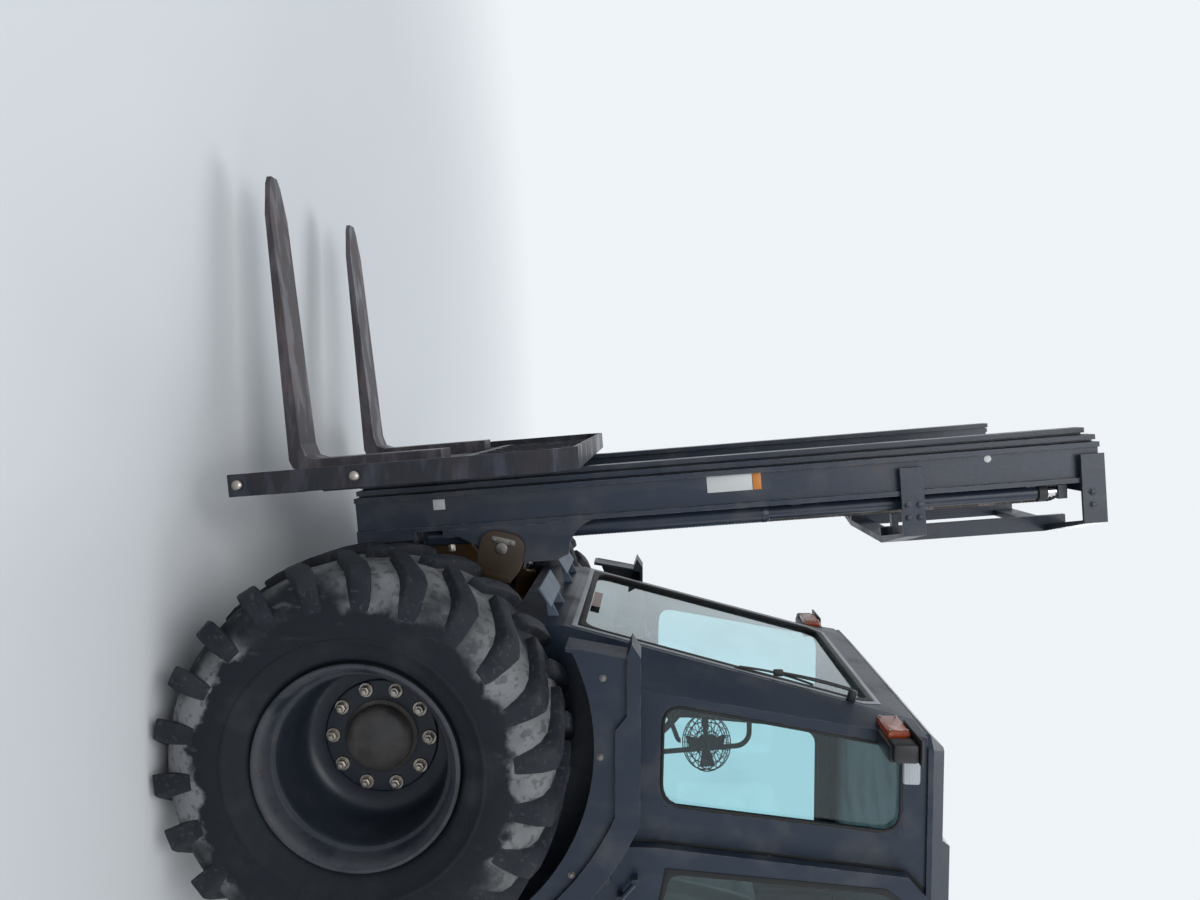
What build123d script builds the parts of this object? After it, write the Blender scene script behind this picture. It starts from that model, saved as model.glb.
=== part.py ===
from build123d import *
import math
import os

os.makedirs("parts", exist_ok=True)

# Rough terrain forklift with a three-stage mast. Millimetres, +X to the forks, +Y to the left
# side, +Z up from the ground. The pieces are drawn with the front axle at X = 0, and the whole
# machine is moved at the end so that its origin is the middle of its footprint.

# Clearances
FIT = 0.08
SEAT = 0.3
RUN = 6.0

# Wheels
FRONT_R = 660.0
FRONT_W = 495.0
FRONT_Y = 843.0
FRONT_SEAT_R = 308.0
FRONT_FLANGE_R = 333.0
FRONT_RIM_W = 414.0
FRONT_DISC_Y = 763.0
FRONT_LUGS = 22
FRONT_LUG_H = 36.0
REAR_X = -2130.0
REAR_R = 482.0
REAR_W = 300.0
REAR_Y = 800.0
REAR_SEAT_R = 222.0
REAR_FLANGE_R = 246.0
REAR_RIM_W = 240.0
REAR_DISC_Y = 770.0
REAR_LUGS = 16
REAR_LUG_H = 24.0
KINGPIN_Y = 620.0
# the arms point straight back, so that the track rod stays square to the machine in a turn
STEER_ARM_X = -160.0
TRACK_END_R = 24.0
STEER_BEAM_Y = 505.0
DISC_T = 16.0
RIM_T = 11.0
# each lug station: share of the half width, top and foot drop in lug heights, slant and half
# thickness in pitches
FRONT_LUG_FORM = [
    (0.05, 0.0, 1.35, 0.00, 0.17),
    (0.94, 0.5, 3.60, 0.70, 0.22),
]
REAR_LUG_FORM = [
    (0.05, 0.0, 1.35, 0.00, 0.17),
    (0.96, 0.9, 3.40, 0.60, 0.21),
]
# the tyres stand on the flat of a lug
FRONT_Z = FRONT_R * math.cos(2 * math.pi / FRONT_LUGS * FRONT_LUG_FORM[0][4])
REAR_Z = REAR_R * math.cos(2 * math.pi / REAR_LUGS * REAR_LUG_FORM[0][4])

# Frame
FRAME_OUT_Y = 270.0
FRAME_T = 30.0
FRAME_Z0 = 640.0
FRAME_Z1 = 900.0
FRAME_REAR_X = -2940.0
FRAME_FRONT_X = 330.0
AXLE_R = 92.0
AXLE_TOP_Z = 765.0
HUB_Y = 700.0
SPINDLE_R = 45.0

# Mast, in its own upright frame with the tilt pin at the origin
LEAN = 4.76
PIVOT_X = 560.0
PIVOT_Z = 600.0
PIVOT_R = 30.0
PIVOT_EAR_R = 52.0
MAST_HALF_W = 545.0
RAIL_D = 140.0
RAIL_FLANGE_T = 18.0
RAIL_WEB_T = 14.0
RAIL_LIP = 26.0
OUTER_LIP = 14.0
RAIL_X0 = 98.0
STAGE_STEP = RAIL_FLANGE_T + RUN
RAIL_Z0 = -90.0
RAIL_Z1 = 2582.0
MID_TOP_DROP = 4.0
INNER_TOP_DROP = 18.0
STAGE_LIFT = 1950.0
FREE_LIFT = 1900.0
TIE_Z = 2500.0
TIE_H = 80.0
TIE_T = 25.0
BOW_X = -115.0
BOW_Y = 250.0
TILT_PIN_X = 20.0
TILT_PIN_Z = 446.0
TILT_PIN_R = 22.0
TILT_Y = 540.0
TILT_BASE_X = -200.0
TILT_BASE_Z = 860.0
TILT_BARREL_R = 44.0
TILT_ROD_R = 24.0
TILT_EYE_W = 40.0
TILT_EAR_T = 18.0
TILT_PLAY = 6.0
TILT_CLEVIS_R = 60.0
TILT_CLEVIS_H = 82.0
TILT_CLEVIS_T = 16.0
TILT_TUBE_R = 40.0
LIFT_X = 66.0
LIFT_Y = 470.0
LIFT_BARREL_R = 33.0
LIFT_TUBE_R = 26.0
LIFT_FOOT_Z = 160.0
LIFT_STEP_Z = 1400.0
LIFT_ROD_R = 19.0
CHAIN_Y = 300.0
CHAIN_W = 34.0
CHAIN_T = 12.0
CHAIN_X = 64.0
SHEAVE_R = 56.0
SHEAVE_Z = 2485.0
FREE_X = 200.0
FREE_SHEAVE_R = 46.0
FREE_BARREL_R = 40.0
FREE_ROD_R = 26.0
FREE_TOP_Z = 1378.0
FREE_CHAIN_Y = 87.0

# Carriage, in the mast's frame
CARRIAGE_HALF_W = 863.0
BAR_X0 = 299.0
BAR_T = 46.0
BAR_H = 120.0
LOW_BAR_Z = -261.0
HIGH_BAR_Z = 85.0
POST_X0 = 301.0
POST_D = 75.0
POST_T = 16.0
POST_Z0 = -395.0
REST_TOP_Z = 770.0
REST_CUT = 74.0
REST_BARS = 8
REST_BAR_W = 12.0
REST_GAP = 58.0
PLATE_Y = 393.0
PLATE_T = 25.0
FORK_Y = 425.0
FORK_W = 150.0
FORK_T = 50.0
FORK_TIP_T = 17.0
FORK_L = 1067.0
FORK_Z = -337.0

# Cab
CAB_HALF_W = 720.0
CAB_FRONT_HALF_W = 573.0
CAB_WALL = 38.0
CAB_REAR_X = -1400.0
SCREEN_X = 340.0
SCREEN_Z = 1267.0
SCREEN_SLOPE = 0.256
SCREEN_BORDER = 48.0
SCREEN_TOP_Z = 2400.0
CORNER_X = 199.0
CORNER_SLOPE = 0.151
CAB_TOP_Z = 2520.0
ROOF_T = 70.0
ROOF_CAP_T = 85.0
SILL_Z = 1549.0
FLOOR_Z = 1060.0
FLOOR_T = 25.0
DOOR_T = 35.0
DOOR_GAP = 5.0
GLASS_T = 6.0
DOOR_FRONT_X = -372.0
DOOR_REAR_X = -1330.0
DOOR_Z0 = 1010.0
DOOR_Z1 = 2520.0
DOOR_LEAN = 0.087
DOOR_HINGE_X = DOOR_REAR_X - 16
DOOR_HINGE_Y = CAB_HALF_W + DOOR_GAP + DOOR_T + 5
DOOR_HINGE_Z = (1180.0, 2300.0)
DOOR_PIN_R = 9.0

# Fenders
FENDER_Y = 850.0
FENDER_FRONT_X = 350.0
FENDER_TOP_Z = SILL_Z
FENDER_ARC_R = 1061.0
FENDER_BEND_X = -241.4
FENDER_END_X = -850.1
FENDER_END_Z = 840.0
FENDER_SKIRT_R = 735.0
FENDER_T = 14.0
# the front wall's foot and the step of its head behind the nose
FENDER_FOOT_X = 337.0
FENDER_FOOT_Z = 1300.0
FENDER_STEP = 47.0
MOULD_H = 84.0
MOULD_OUT = 16.0
# the fender's arc passes through its bend and its end, so its centre follows from its radius
HALF_X = (FENDER_END_X - FENDER_BEND_X) / 2
HALF_Z = (FENDER_END_Z - FENDER_TOP_Z) / 2
HALF_CHORD = math.hypot(HALF_X, HALF_Z)
ARC_DEPTH = math.sqrt(FENDER_ARC_R ** 2 - HALF_CHORD ** 2)
FENDER_ARC_X = FENDER_BEND_X + HALF_X - ARC_DEPTH * HALF_Z / HALF_CHORD
FENDER_ARC_Z = FENDER_TOP_Z + HALF_Z + ARC_DEPTH * HALF_X / HALF_CHORD

# Small plates in front of the cab
SMALL_PLATE_X = 460.0
SMALL_PLATE_T = 8.0

# Rear body
HOOD_FRONT_X = -1425.0
HOOD_REAR_X = -2915.0
HOOD_HALF_W = 440.0
HOOD_Z0 = 1000.0
HOOD_FRONT_Z = 1720.0
HOOD_REAR_Z = 1560.0
HOOD_T = 12.0
HOOD_HINGE_X = -2890.0
HOOD_HINGE_Z = 1180.0
HOOD_PIN_R = 10.0
WEIGHT_X0 = -3270.0
WEIGHT_X1 = FRAME_REAR_X
WEIGHT_HALF_W = 600.0
WEIGHT_Z0 = 560.0
WEIGHT_Z1 = 1120.0
STACK_X = -1560.0
STACK_Y = -535.0
STACK_R = 38.0
STACK_TOP_Z = 2480.0

PARTS = {}


def box(x0, x1, y0, y1, z0, z1):
    """A block between two corners."""
    middle = Pos((x0 + x1) / 2, (y0 + y1) / 2, (z0 + z1) / 2)
    return middle * Box(x1 - x0, y1 - y0, z1 - z0)


def round_y(x, z, y0, y1, radius):
    """A round bar along Y."""
    return Pos(x, (y0 + y1) / 2, z) * Rot(90, 0, 0) * Cylinder(radius, y1 - y0)


def round_x(y, z, x0, x1, radius):
    """A round bar along X."""
    return Pos((x0 + x1) / 2, y, z) * Rot(0, 90, 0) * Cylinder(radius, x1 - x0)


def round_z(x, y, z0, z1, radius):
    """A round bar along Z."""
    return Pos(x, y, (z0 + z1) / 2) * Cylinder(radius, z1 - z0)


def bar(start, end, radius):
    """A round bar between two points."""
    line = Vector(*end) - Vector(*start)
    place = Plane(origin=start, z_dir=line)
    return extrude(place * Circle(radius), line.length)


def side_plate(points, y0, y1):
    """A plate cut to an outline of (x, z) points, between two values of Y."""
    outline = make_face(Polyline(*points, close=True))
    return Pos(0, y1, 0) * extrude(Plane.XZ * outline, y1 - y0)


def curved_plate(runs, y0, y1):
    """A plate between two values of Y from runs of (x, z) points: "line" or a three-point "arc"."""
    edges = []
    for kind, points in runs:
        run = ThreePointArc(*points) if kind == "arc" else Polyline(*points)
        edges.extend(run.edges())
    outline = make_face(edges)
    return Pos(0, y1, 0) * extrude(Plane.XZ * outline, y1 - y0)


def cross_plate(points, x0, x1):
    """A plate cut to an outline of (y, z) points, between two values of X."""
    outline = make_face(Polyline(*points, close=True))
    return Pos(x0, 0, 0) * extrude(Plane.YZ * outline, x1 - x0)


def flat_plate(points, z0, z1):
    """A plate cut to an outline of (x, y) points, between two heights."""
    outline = make_face(Polyline(*points, close=True))
    return Pos(0, 0, z0) * extrude(outline, z1 - z0)


def turned(profile, x, y, z):
    """A ring from (radius, offset) points, turned about an axis along Y at a point."""
    outline = make_face(Polyline(*profile, close=True))
    ring = revolve(Plane.XY * outline, Axis.Y, 360)
    return Pos(x, y, z) * ring


def fuse(*pieces):
    """Join pieces that touch into one solid."""
    body = pieces[0]
    for piece in pieces[1:]:
        body = body + piece
    return body


def flip(piece):
    """The same piece on the other side of the machine."""
    return mirror(piece, about=Plane.XZ)


def both(piece):
    """A piece and its mirror image."""
    return fuse(piece, flip(piece))


def keep(name, *pieces):
    """Store a sub-part as one or more solids."""
    solids = []
    for piece in pieces:
        solids.extend(piece.solids())
    PARTS[name] = solids


def lean(piece):
    """Place a piece drawn upright in the mast's frame."""
    return Pos(PIVOT_X, 0, PIVOT_Z) * Rot(0, LEAN, 0) * piece


def mast_point(x, z):
    """The machine's (x, z) of a point in the mast's frame."""
    turn = math.radians(LEAN)
    return (
        PIVOT_X + x * math.cos(turn) + z * math.sin(turn),
        PIVOT_Z + z * math.cos(turn) - x * math.sin(turn),
    )


def solid_from(rings):
    """A flat-faced solid through rings of four points, closed at both ends."""
    faces = []
    for one, two in zip(rings, rings[1:]):
        for j in range(4):
            k = (j + 1) % 4
            for corners in ((one[j], one[k], two[k]), (one[j], two[k], two[j])):
                faces.append(Face(Wire.make_polygon(corners, close=True)))
    for a, b, c, d in (rings[0], rings[-1]):
        for corners in ((a, b, c), (a, c, d)):
            faces.append(Face(Wire.make_polygon(corners, close=True)))
    return Solid(Shell(faces))


def around(radius, turn, y):
    """A point at a radius and an angle about the Y axis, angle 0 pointing down."""
    return (radius * math.sin(turn), y, -radius * math.cos(turn))


def tyre(radius, width, seat_r, rim_w, lug_h, lugs, form):
    """A tyre about the Y axis: a carcass in flat facets with two rows of slanting lugs."""
    base = radius - lug_h
    half = width / 2
    pitch = 2 * math.pi / lugs
    wall = base - seat_r
    bore = (seat_r + SEAT) / math.cos(pitch / 2)
    # radius, offset across the tyre
    right = [
        (bore, rim_w / 2 - 2.4 * RIM_T),
        (seat_r + 0.55 * wall, half),
        (base, half - 0.14 * width),
    ]
    section = right + [(r, -y) for r, y in reversed(right)]
    faces = []
    for i in range(lugs):
        a = i * pitch
        b = a + pitch
        for j, (r0, y0) in enumerate(section):
            r1, y1 = section[(j + 1) % len(section)]
            corners = (around(r0, a, y0), around(r1, a, y1), around(r1, b, y1), around(r0, b, y0))
            faces.append(Face(Wire.make_polygon(corners, close=True)))
    carcass = Solid(Shell(faces))
    rows = []
    for side, offset in ((1, 0.0), (-1, 0.5)):
        for i in range(lugs):
            rings = []
            for share, drop, foot, slant, thick in form:
                y = side * share * half
                top = radius - drop * lug_h
                low = radius - foot * lug_h
                y_low = side * min(share * half, half - 2.0 * lug_h)
                a = (i + offset + slant - thick) * pitch
                b = (i + offset + slant + thick) * pitch
                rings.append((around(top, a, y), around(top, b, y), around(low, b, y_low), around(low, a, y_low)))
            rows.append(solid_from(rings))
    return carcass.fuse(*rows)


def rim(seat_r, flange_r, rim_w, centre_y, disc_y, bore_r):
    """A wheel rim in one piece with its disc, its flange rings at the tyre's beads."""
    half = rim_w / 2
    barrel = turned(
        [
            (seat_r - RIM_T, -half),
            (flange_r, -half),
            (flange_r, -half + RIM_T),
            (seat_r, -half + 2 * RIM_T),
            (seat_r, half - 2 * RIM_T),
            (flange_r, half - RIM_T),
            (flange_r, half),
            (seat_r - RIM_T, half),
        ],
        0, centre_y, 0,
    )
    disc = round_y(0, 0, disc_y - DISC_T / 2, disc_y + DISC_T / 2, seat_r - RIM_T / 2)
    return (barrel + disc) - round_y(0, 0, disc_y - DISC_T, disc_y + DISC_T, bore_r)


def studs(count, circle_r, y0, y1, radius):
    """Wheel studs with their nuts on a bolt circle."""
    ring = []
    for i in range(count):
        turn = 2 * math.pi * (i + 0.5) / count
        x = circle_r * math.sin(turn)
        z = circle_r * math.cos(turn)
        ring.append(round_y(x, z, y0, y1, radius))
    return ring


def front_wheel():
    """The left front tyre and rim, at the wheel's own centre height."""
    place = Pos(0, 0, FRONT_Z)
    body = tyre(FRONT_R, FRONT_W, FRONT_SEAT_R, FRONT_RIM_W, FRONT_LUG_H, FRONT_LUGS, FRONT_LUG_FORM)
    rubber = place * (Pos(0, FRONT_Y, 0) * body)
    steel = rim(FRONT_SEAT_R, FRONT_FLANGE_R, FRONT_RIM_W, FRONT_Y, FRONT_DISC_Y, 60)
    hub = round_y(0, 0, HUB_Y + SEAT, FRONT_DISC_Y + 40, 128)
    cap = round_y(0, 0, FRONT_DISC_Y, FRONT_DISC_Y + 78, 112)
    nuts = studs(10, 167.5, FRONT_DISC_Y, FRONT_DISC_Y + 38, 15)
    flange = round_y(0, 0, HUB_Y + 30, FRONT_DISC_Y, 195)
    steel = fuse(steel, hub, cap, flange, *nuts)
    steel = steel - round_y(0, 0, HUB_Y - 1, HUB_Y + 60, SPINDLE_R + FIT)
    return rubber, place * steel


def rear_wheel():
    """The left rear tyre and rim, at the wheel's own centre height."""
    place = Pos(REAR_X, 0, REAR_Z)
    body = tyre(REAR_R, REAR_W, REAR_SEAT_R, REAR_RIM_W, REAR_LUG_H, REAR_LUGS, REAR_LUG_FORM)
    rubber = place * (Pos(0, REAR_Y, 0) * body)
    steel = rim(REAR_SEAT_R, REAR_FLANGE_R, REAR_RIM_W, REAR_Y, REAR_DISC_Y, 40)
    hub = round_y(0, 0, REAR_DISC_Y - 40, REAR_DISC_Y + 60, 68)
    flange = round_y(0, 0, REAR_DISC_Y - 30, REAR_DISC_Y, 130)
    nuts = studs(6, 102, REAR_DISC_Y, REAR_DISC_Y + 30, 12)
    steel = fuse(steel, hub, flange, *nuts)
    steel = steel - round_y(0, 0, REAR_DISC_Y - 41, REAR_DISC_Y + 30, 30 + FIT)
    return rubber, place * steel


def knuckle():
    """The left steering knuckle: a barrel on the kingpin, a spindle and an arm."""
    z = REAR_Z
    barrel = round_z(REAR_X, KINGPIN_Y, z - 62, z + 62, 44)
    spindle = round_y(REAR_X, z, KINGPIN_Y, REAR_DISC_Y + 25, 30)
    shoulder = round_y(REAR_X, z, KINGPIN_Y, REAR_DISC_Y - 40 - SEAT, 42)
    end_x = REAR_X + STEER_ARM_X
    arm = flat_plate(
        [
            (REAR_X - 20, KINGPIN_Y - 36),
            (end_x, KINGPIN_Y - 26),
            (end_x, KINGPIN_Y + 26),
            (REAR_X - 20, KINGPIN_Y + 36),
        ],
        z - 46, z - 22,
    )
    eye = round_z(end_x, KINGPIN_Y, z - 46, z - 22, 26)
    pin = round_z(end_x, KINGPIN_Y, z - 80, z - 30, 12)
    body = fuse(barrel, shoulder, spindle, arm, eye, pin)
    return body - round_z(REAR_X, KINGPIN_Y, z - 80, z + 80, 20 + FIT)


def track_rod():
    """The rod that joins the two steering arms."""
    x = REAR_X + STEER_ARM_X
    y = KINGPIN_Y
    z = REAR_Z - 64
    rod = round_y(x, z, -y + 20, y - 20, 15)
    ends = both(round_z(x, y, z - 14, z + 14, TRACK_END_R))
    holes = both(round_z(x, y, z - 30, z + 30, 12 + FIT))
    return fuse(rod, ends) - holes


def rear_axle():
    """The steer axle beam with its yokes, kingpins and centre pivot."""
    z = REAR_Z
    beam = box(REAR_X - 55, REAR_X + 55, -STEER_BEAM_Y, STEER_BEAM_Y, z - 55, z + 60)
    pieces = [beam]
    for side in (1, -1):
        y = side * KINGPIN_Y
        end = side * STEER_BEAM_Y
        for low in (z - 62 - RUN - 26, z + 62 + RUN):
            pieces.append(box(REAR_X - 46, REAR_X + 46, min(end, y), max(end, y), low, low + 26))
            pieces.append(round_z(REAR_X, y, low, low + 26, 46))
        back = side * (STEER_BEAM_Y - 45)
        pieces.append(box(REAR_X - 46, REAR_X + 46, min(end, back), max(end, back), z - 94, z + 94))
        pieces.append(round_z(REAR_X, y, z - 94, z + 94, 20))
    pivot = round_x(0, z + 110, REAR_X - 150, REAR_X + 150, 45)
    web = box(REAR_X - 55, REAR_X + 55, -120, 120, z + 50, z + 120)
    return fuse(*pieces, web, pivot)


def main_frame():
    """Two side plates with cross members, the mast's lugs and the cylinder bosses."""
    inner = FRAME_OUT_Y - FRAME_T
    rail = side_plate(
        [
            (FRAME_REAR_X, FRAME_Z0 + 40),
            (FRAME_REAR_X, FRAME_Z1),
            (FRAME_FRONT_X, FRAME_Z1),
            (FRAME_FRONT_X, FRAME_Z0 - 110),
            (190, FRAME_Z0 - 110),
            (140, AXLE_TOP_Z),
            (-150, AXLE_TOP_Z),
            (-260, FRAME_Z0),
            (REAR_X + 400, FRAME_Z0),
        ],
        inner, FRAME_OUT_Y,
    )
    rails = [rail, flip(rail)]
    # centre x, half length, low z, high z of each cross member
    members = [
        (FRAME_FRONT_X - 20, 20, FRAME_Z0 - 110, FRAME_Z1),
        (-420, 60, FRAME_Z0, FRAME_Z0 + 60),
        (-1150, 60, FRAME_Z0, FRAME_Z0 + 60),
        (FRAME_REAR_X + 15, 15, FRAME_Z0 + 40, FRAME_Z1),
    ]
    pieces = []
    for x, half, low, high in members:
        pieces.append(box(x - half, x + half, -inner, inner, low, high))
    for x in (REAR_X - 130, REAR_X + 130):
        hanger = cross_plate(
            [
                (-inner, FRAME_Z0 + 50), (inner, FRAME_Z0 + 50), (inner, FRAME_Z0 + 20),
                (80, REAR_Z + 54), (-80, REAR_Z + 54), (-inner, FRAME_Z0 + 20),
            ],
            x - 14, x + 14,
        )
        pieces.append(hanger - round_x(0, REAR_Z + 110, x - 30, x + 30, 45 + FIT))
    lug = side_plate(
        [
            (FRAME_FRONT_X - 40, 540), (FRAME_FRONT_X - 40, 860), (FRAME_FRONT_X + 60, 820),
            (PIVOT_X + 30, PIVOT_Z + 44), (PIVOT_X + 30, PIVOT_Z - 44), (PIVOT_X - 60, PIVOT_Z - 60),
        ],
        350, 390,
    )
    lug = fuse(lug, round_y(PIVOT_X, PIVOT_Z, 350, 390, PIVOT_EAR_R), round_y(PIVOT_X, PIVOT_Z, 350, 436, PIVOT_R))
    arm = box(FRAME_FRONT_X - 40, FRAME_FRONT_X, inner, 390, 540, 860)
    collar_y = TILT_Y + TILT_EYE_W / 2 + 4
    tube_y = TILT_Y - TILT_EYE_W / 2 - RUN
    tube = round_y(TILT_BASE_X, TILT_BASE_Z, -tube_y, tube_y, TILT_TUBE_R)
    pin = round_y(TILT_BASE_X, TILT_BASE_Z, -collar_y, collar_y, TILT_PIN_R)
    boss = round_y(TILT_BASE_X, TILT_BASE_Z, FRAME_OUT_Y, FRAME_OUT_Y + 40, TILT_TUBE_R + 22)
    collar = round_y(TILT_BASE_X, TILT_BASE_Z, collar_y, collar_y + 12, TILT_PIN_R + 10)
    sides = []
    for piece in (lug, arm, boss, collar):
        sides.extend([piece, flip(piece)])
    # centre x of each cab mount bracket
    mounts = []
    for x in (-1150, 60):
        mount = box(x - 50, x + 50, inner, 430, FRAME_Z1 - 30, FRAME_Z1)
        pad = box(x - 40, x + 40, 330, 410, FRAME_Z1, FLOOR_Z)
        mounts.extend([mount, flip(mount), pad, flip(pad)])
    stack_foot = box(STACK_X - 60, STACK_X + 60, STACK_Y - 60, -inner, FRAME_Z1 - 30, FRAME_Z1)
    return fuse(*rails, *pieces, tube, pin, *sides, *mounts, stack_foot)


def front_axle():
    """The driven front axle, bolted up under the frame."""
    z = FRONT_Z
    case = fuse(
        round_x(0, z, -190, 170, 150),
        round_y(0, z, -HUB_Y + 60, HUB_Y - 60, AXLE_R),
    )
    end = fuse(
        round_y(0, z, HUB_Y - 70, HUB_Y, 140),
        round_y(0, z, HUB_Y, HUB_Y + 55, SPINDLE_R),
    )
    saddle = box(-90, 90, FRAME_OUT_Y - FRAME_T - 10, FRAME_OUT_Y + 15, z, AXLE_TOP_Z)
    return fuse(case, end, flip(end), saddle, flip(saddle))


def engine():
    """The engine as one plain block with its four feet on the frame."""
    block = box(-2620, -1620, -225, 225, FRAME_Z0 + 60, 1400)
    feet = []
    for x in (-2500, -1740):
        feet.append(box(x - 40, x + 40, -FRAME_OUT_Y + 5, FRAME_OUT_Y - 5, FRAME_Z1, FRAME_Z1 + 30))
    return fuse(block, *feet)


def rail_pair(outer_y, outer_lip, x0, z0, z1):
    """A left and right rail of I section, its outer flange tips at outer_y."""
    web_out = outer_y - outer_lip
    web_in = web_out - RAIL_WEB_T
    tip_in = web_in - RAIL_LIP
    x1 = x0 + RAIL_D
    section = [
        (x0, outer_y), (x0, tip_in), (x0 + RAIL_FLANGE_T, tip_in), (x0 + RAIL_FLANGE_T, web_in),
        (x1 - RAIL_FLANGE_T, web_in), (x1 - RAIL_FLANGE_T, tip_in), (x1, tip_in), (x1, outer_y),
        (x1 - RAIL_FLANGE_T, outer_y), (x1 - RAIL_FLANGE_T, web_out),
        (x0 + RAIL_FLANGE_T, web_out), (x0 + RAIL_FLANGE_T, outer_y),
    ]
    left = flat_plate(section, z0, z1)
    return left, flip(left), web_out, web_in


OUTER_X = RAIL_X0
MID_X = OUTER_X + STAGE_STEP
INNER_X = MID_X + STAGE_STEP
OUTER_WEB_IN = MAST_HALF_W - OUTER_LIP - RAIL_WEB_T
MID_Y = OUTER_WEB_IN - RUN
MID_WEB_IN = MID_Y - RAIL_LIP - RAIL_WEB_T
INNER_Y = MID_WEB_IN - RUN
INNER_WEB_IN = INNER_Y - RAIL_LIP - RAIL_WEB_T
ROLLER_R = (RAIL_D - 2 * RAIL_FLANGE_T) / 2 - 0.5


def bow(z0, z1, thick):
    """A tie that goes round behind the mast from one rail to the other."""
    out = MAST_HALF_W
    front = OUTER_X + RAIL_D - 40
    back = -45
    outer = [
        (front, out + 12), (back, out + 12), (BOW_X, BOW_Y), (BOW_X, -BOW_Y),
        (back, -out - 12), (front, -out - 12),
    ]
    inner = [
        (front, -out), (back + 10, -out), (BOW_X + thick, -BOW_Y + 12),
        (BOW_X + thick, BOW_Y - 12), (back + 10, out), (front, out),
    ]
    return flat_plate(outer + inner, z0, z1)


def outer_mast():
    """The outer mast: rails, ties, foot, pivot ears, tilt ears and lift cylinder tubes."""
    left, right, _, _ = rail_pair(MAST_HALF_W, OUTER_LIP, OUTER_X, RAIL_Z0, RAIL_Z1 - 8)
    pieces = [left, right]
    pieces.append(bow(TIE_Z - 620, TIE_Z - 620 + TIE_H, TIE_T))
    pieces.append(bow(RAIL_Z1 - TIE_H, RAIL_Z1, TIE_T))
    for side in (1, -1):
        y = side * BOW_Y
        y0 = min(y, y - side * 20)
        y1 = max(y, y - side * 20)
        pieces.append(box(BOW_X, BOW_X + 60, y0, y1, TIE_Z - 620, RAIL_Z1))
    # low z, high z of each cross plate between the rails
    for low, high in ((RAIL_Z0, RAIL_Z0 + 220), (230, 340)):
        pieces.append(box(OUTER_X - 28, OUTER_X, -MAST_HALF_W, MAST_HALF_W, low, high))
    ear = side_plate(
        [(OUTER_X, RAIL_Z0 + 20), (OUTER_X, RAIL_Z0 + 200), (0, PIVOT_EAR_R), (0, -PIVOT_EAR_R)],
        395, 431,
    )
    ear = fuse(ear, round_y(0, 0, 395, 431, PIVOT_EAR_R))
    ear = ear - round_y(0, 0, 380, 440, PIVOT_R + FIT)
    back = TILT_PIN_X - TILT_CLEVIS_R
    tilt_ear = curved_plate(
        [
            ("line", [(OUTER_X, 240), (OUTER_X, 790)]),
            ("arc", [(OUTER_X, 790), (OUTER_X - 44, 714), (OUTER_X - 118, 686)]),
            ("line", [(OUTER_X - 118, 686), (back, 640), (back, TILT_PIN_Z - 20), (TILT_PIN_X, TILT_PIN_Z - 70), (OUTER_X, 240)]),
        ],
        TILT_Y - TILT_EAR_T / 2, TILT_Y + TILT_EAR_T / 2,
    )
    tilt_ear = tilt_ear - round_y(TILT_PIN_X, TILT_PIN_Z, TILT_Y - 40, TILT_Y + 40, TILT_PIN_R + TILT_PLAY)
    anchor_z = TIE_Z - 620 + TIE_H / 2
    anchor = box(BOW_X + 20, CHAIN_X - SHEAVE_R - 5, CHAIN_Y - 15, CHAIN_Y + 15, anchor_z - 12, anchor_z + 12)
    barrel = fuse(
        round_z(LIFT_X, LIFT_Y, LIFT_FOOT_Z, LIFT_STEP_Z, LIFT_BARREL_R),
        round_z(LIFT_X, LIFT_Y, LIFT_STEP_Z, RAIL_Z1 - 170, LIFT_TUBE_R),
        box(LIFT_X - 20, OUTER_X, LIFT_Y - 20, LIFT_Y + 20, LIFT_FOOT_Z - 20, LIFT_FOOT_Z + 30),
        box(LIFT_X - 20, OUTER_X, LIFT_Y - 15, LIFT_Y + 15, 1500, 1540),
        box(LIFT_X - 20, OUTER_X, LIFT_Y - 15, LIFT_Y + 15, RAIL_Z1 - 240, RAIL_Z1 - 200),
    )
    bore = round_z(LIFT_X, LIFT_Y, LIFT_FOOT_Z + 50, RAIL_Z1, LIFT_ROD_R + FIT)
    for piece in (ear, barrel, tilt_ear, anchor):
        pieces.extend([piece, flip(piece)])
    return fuse(*pieces) - bore - flip(bore)


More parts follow.
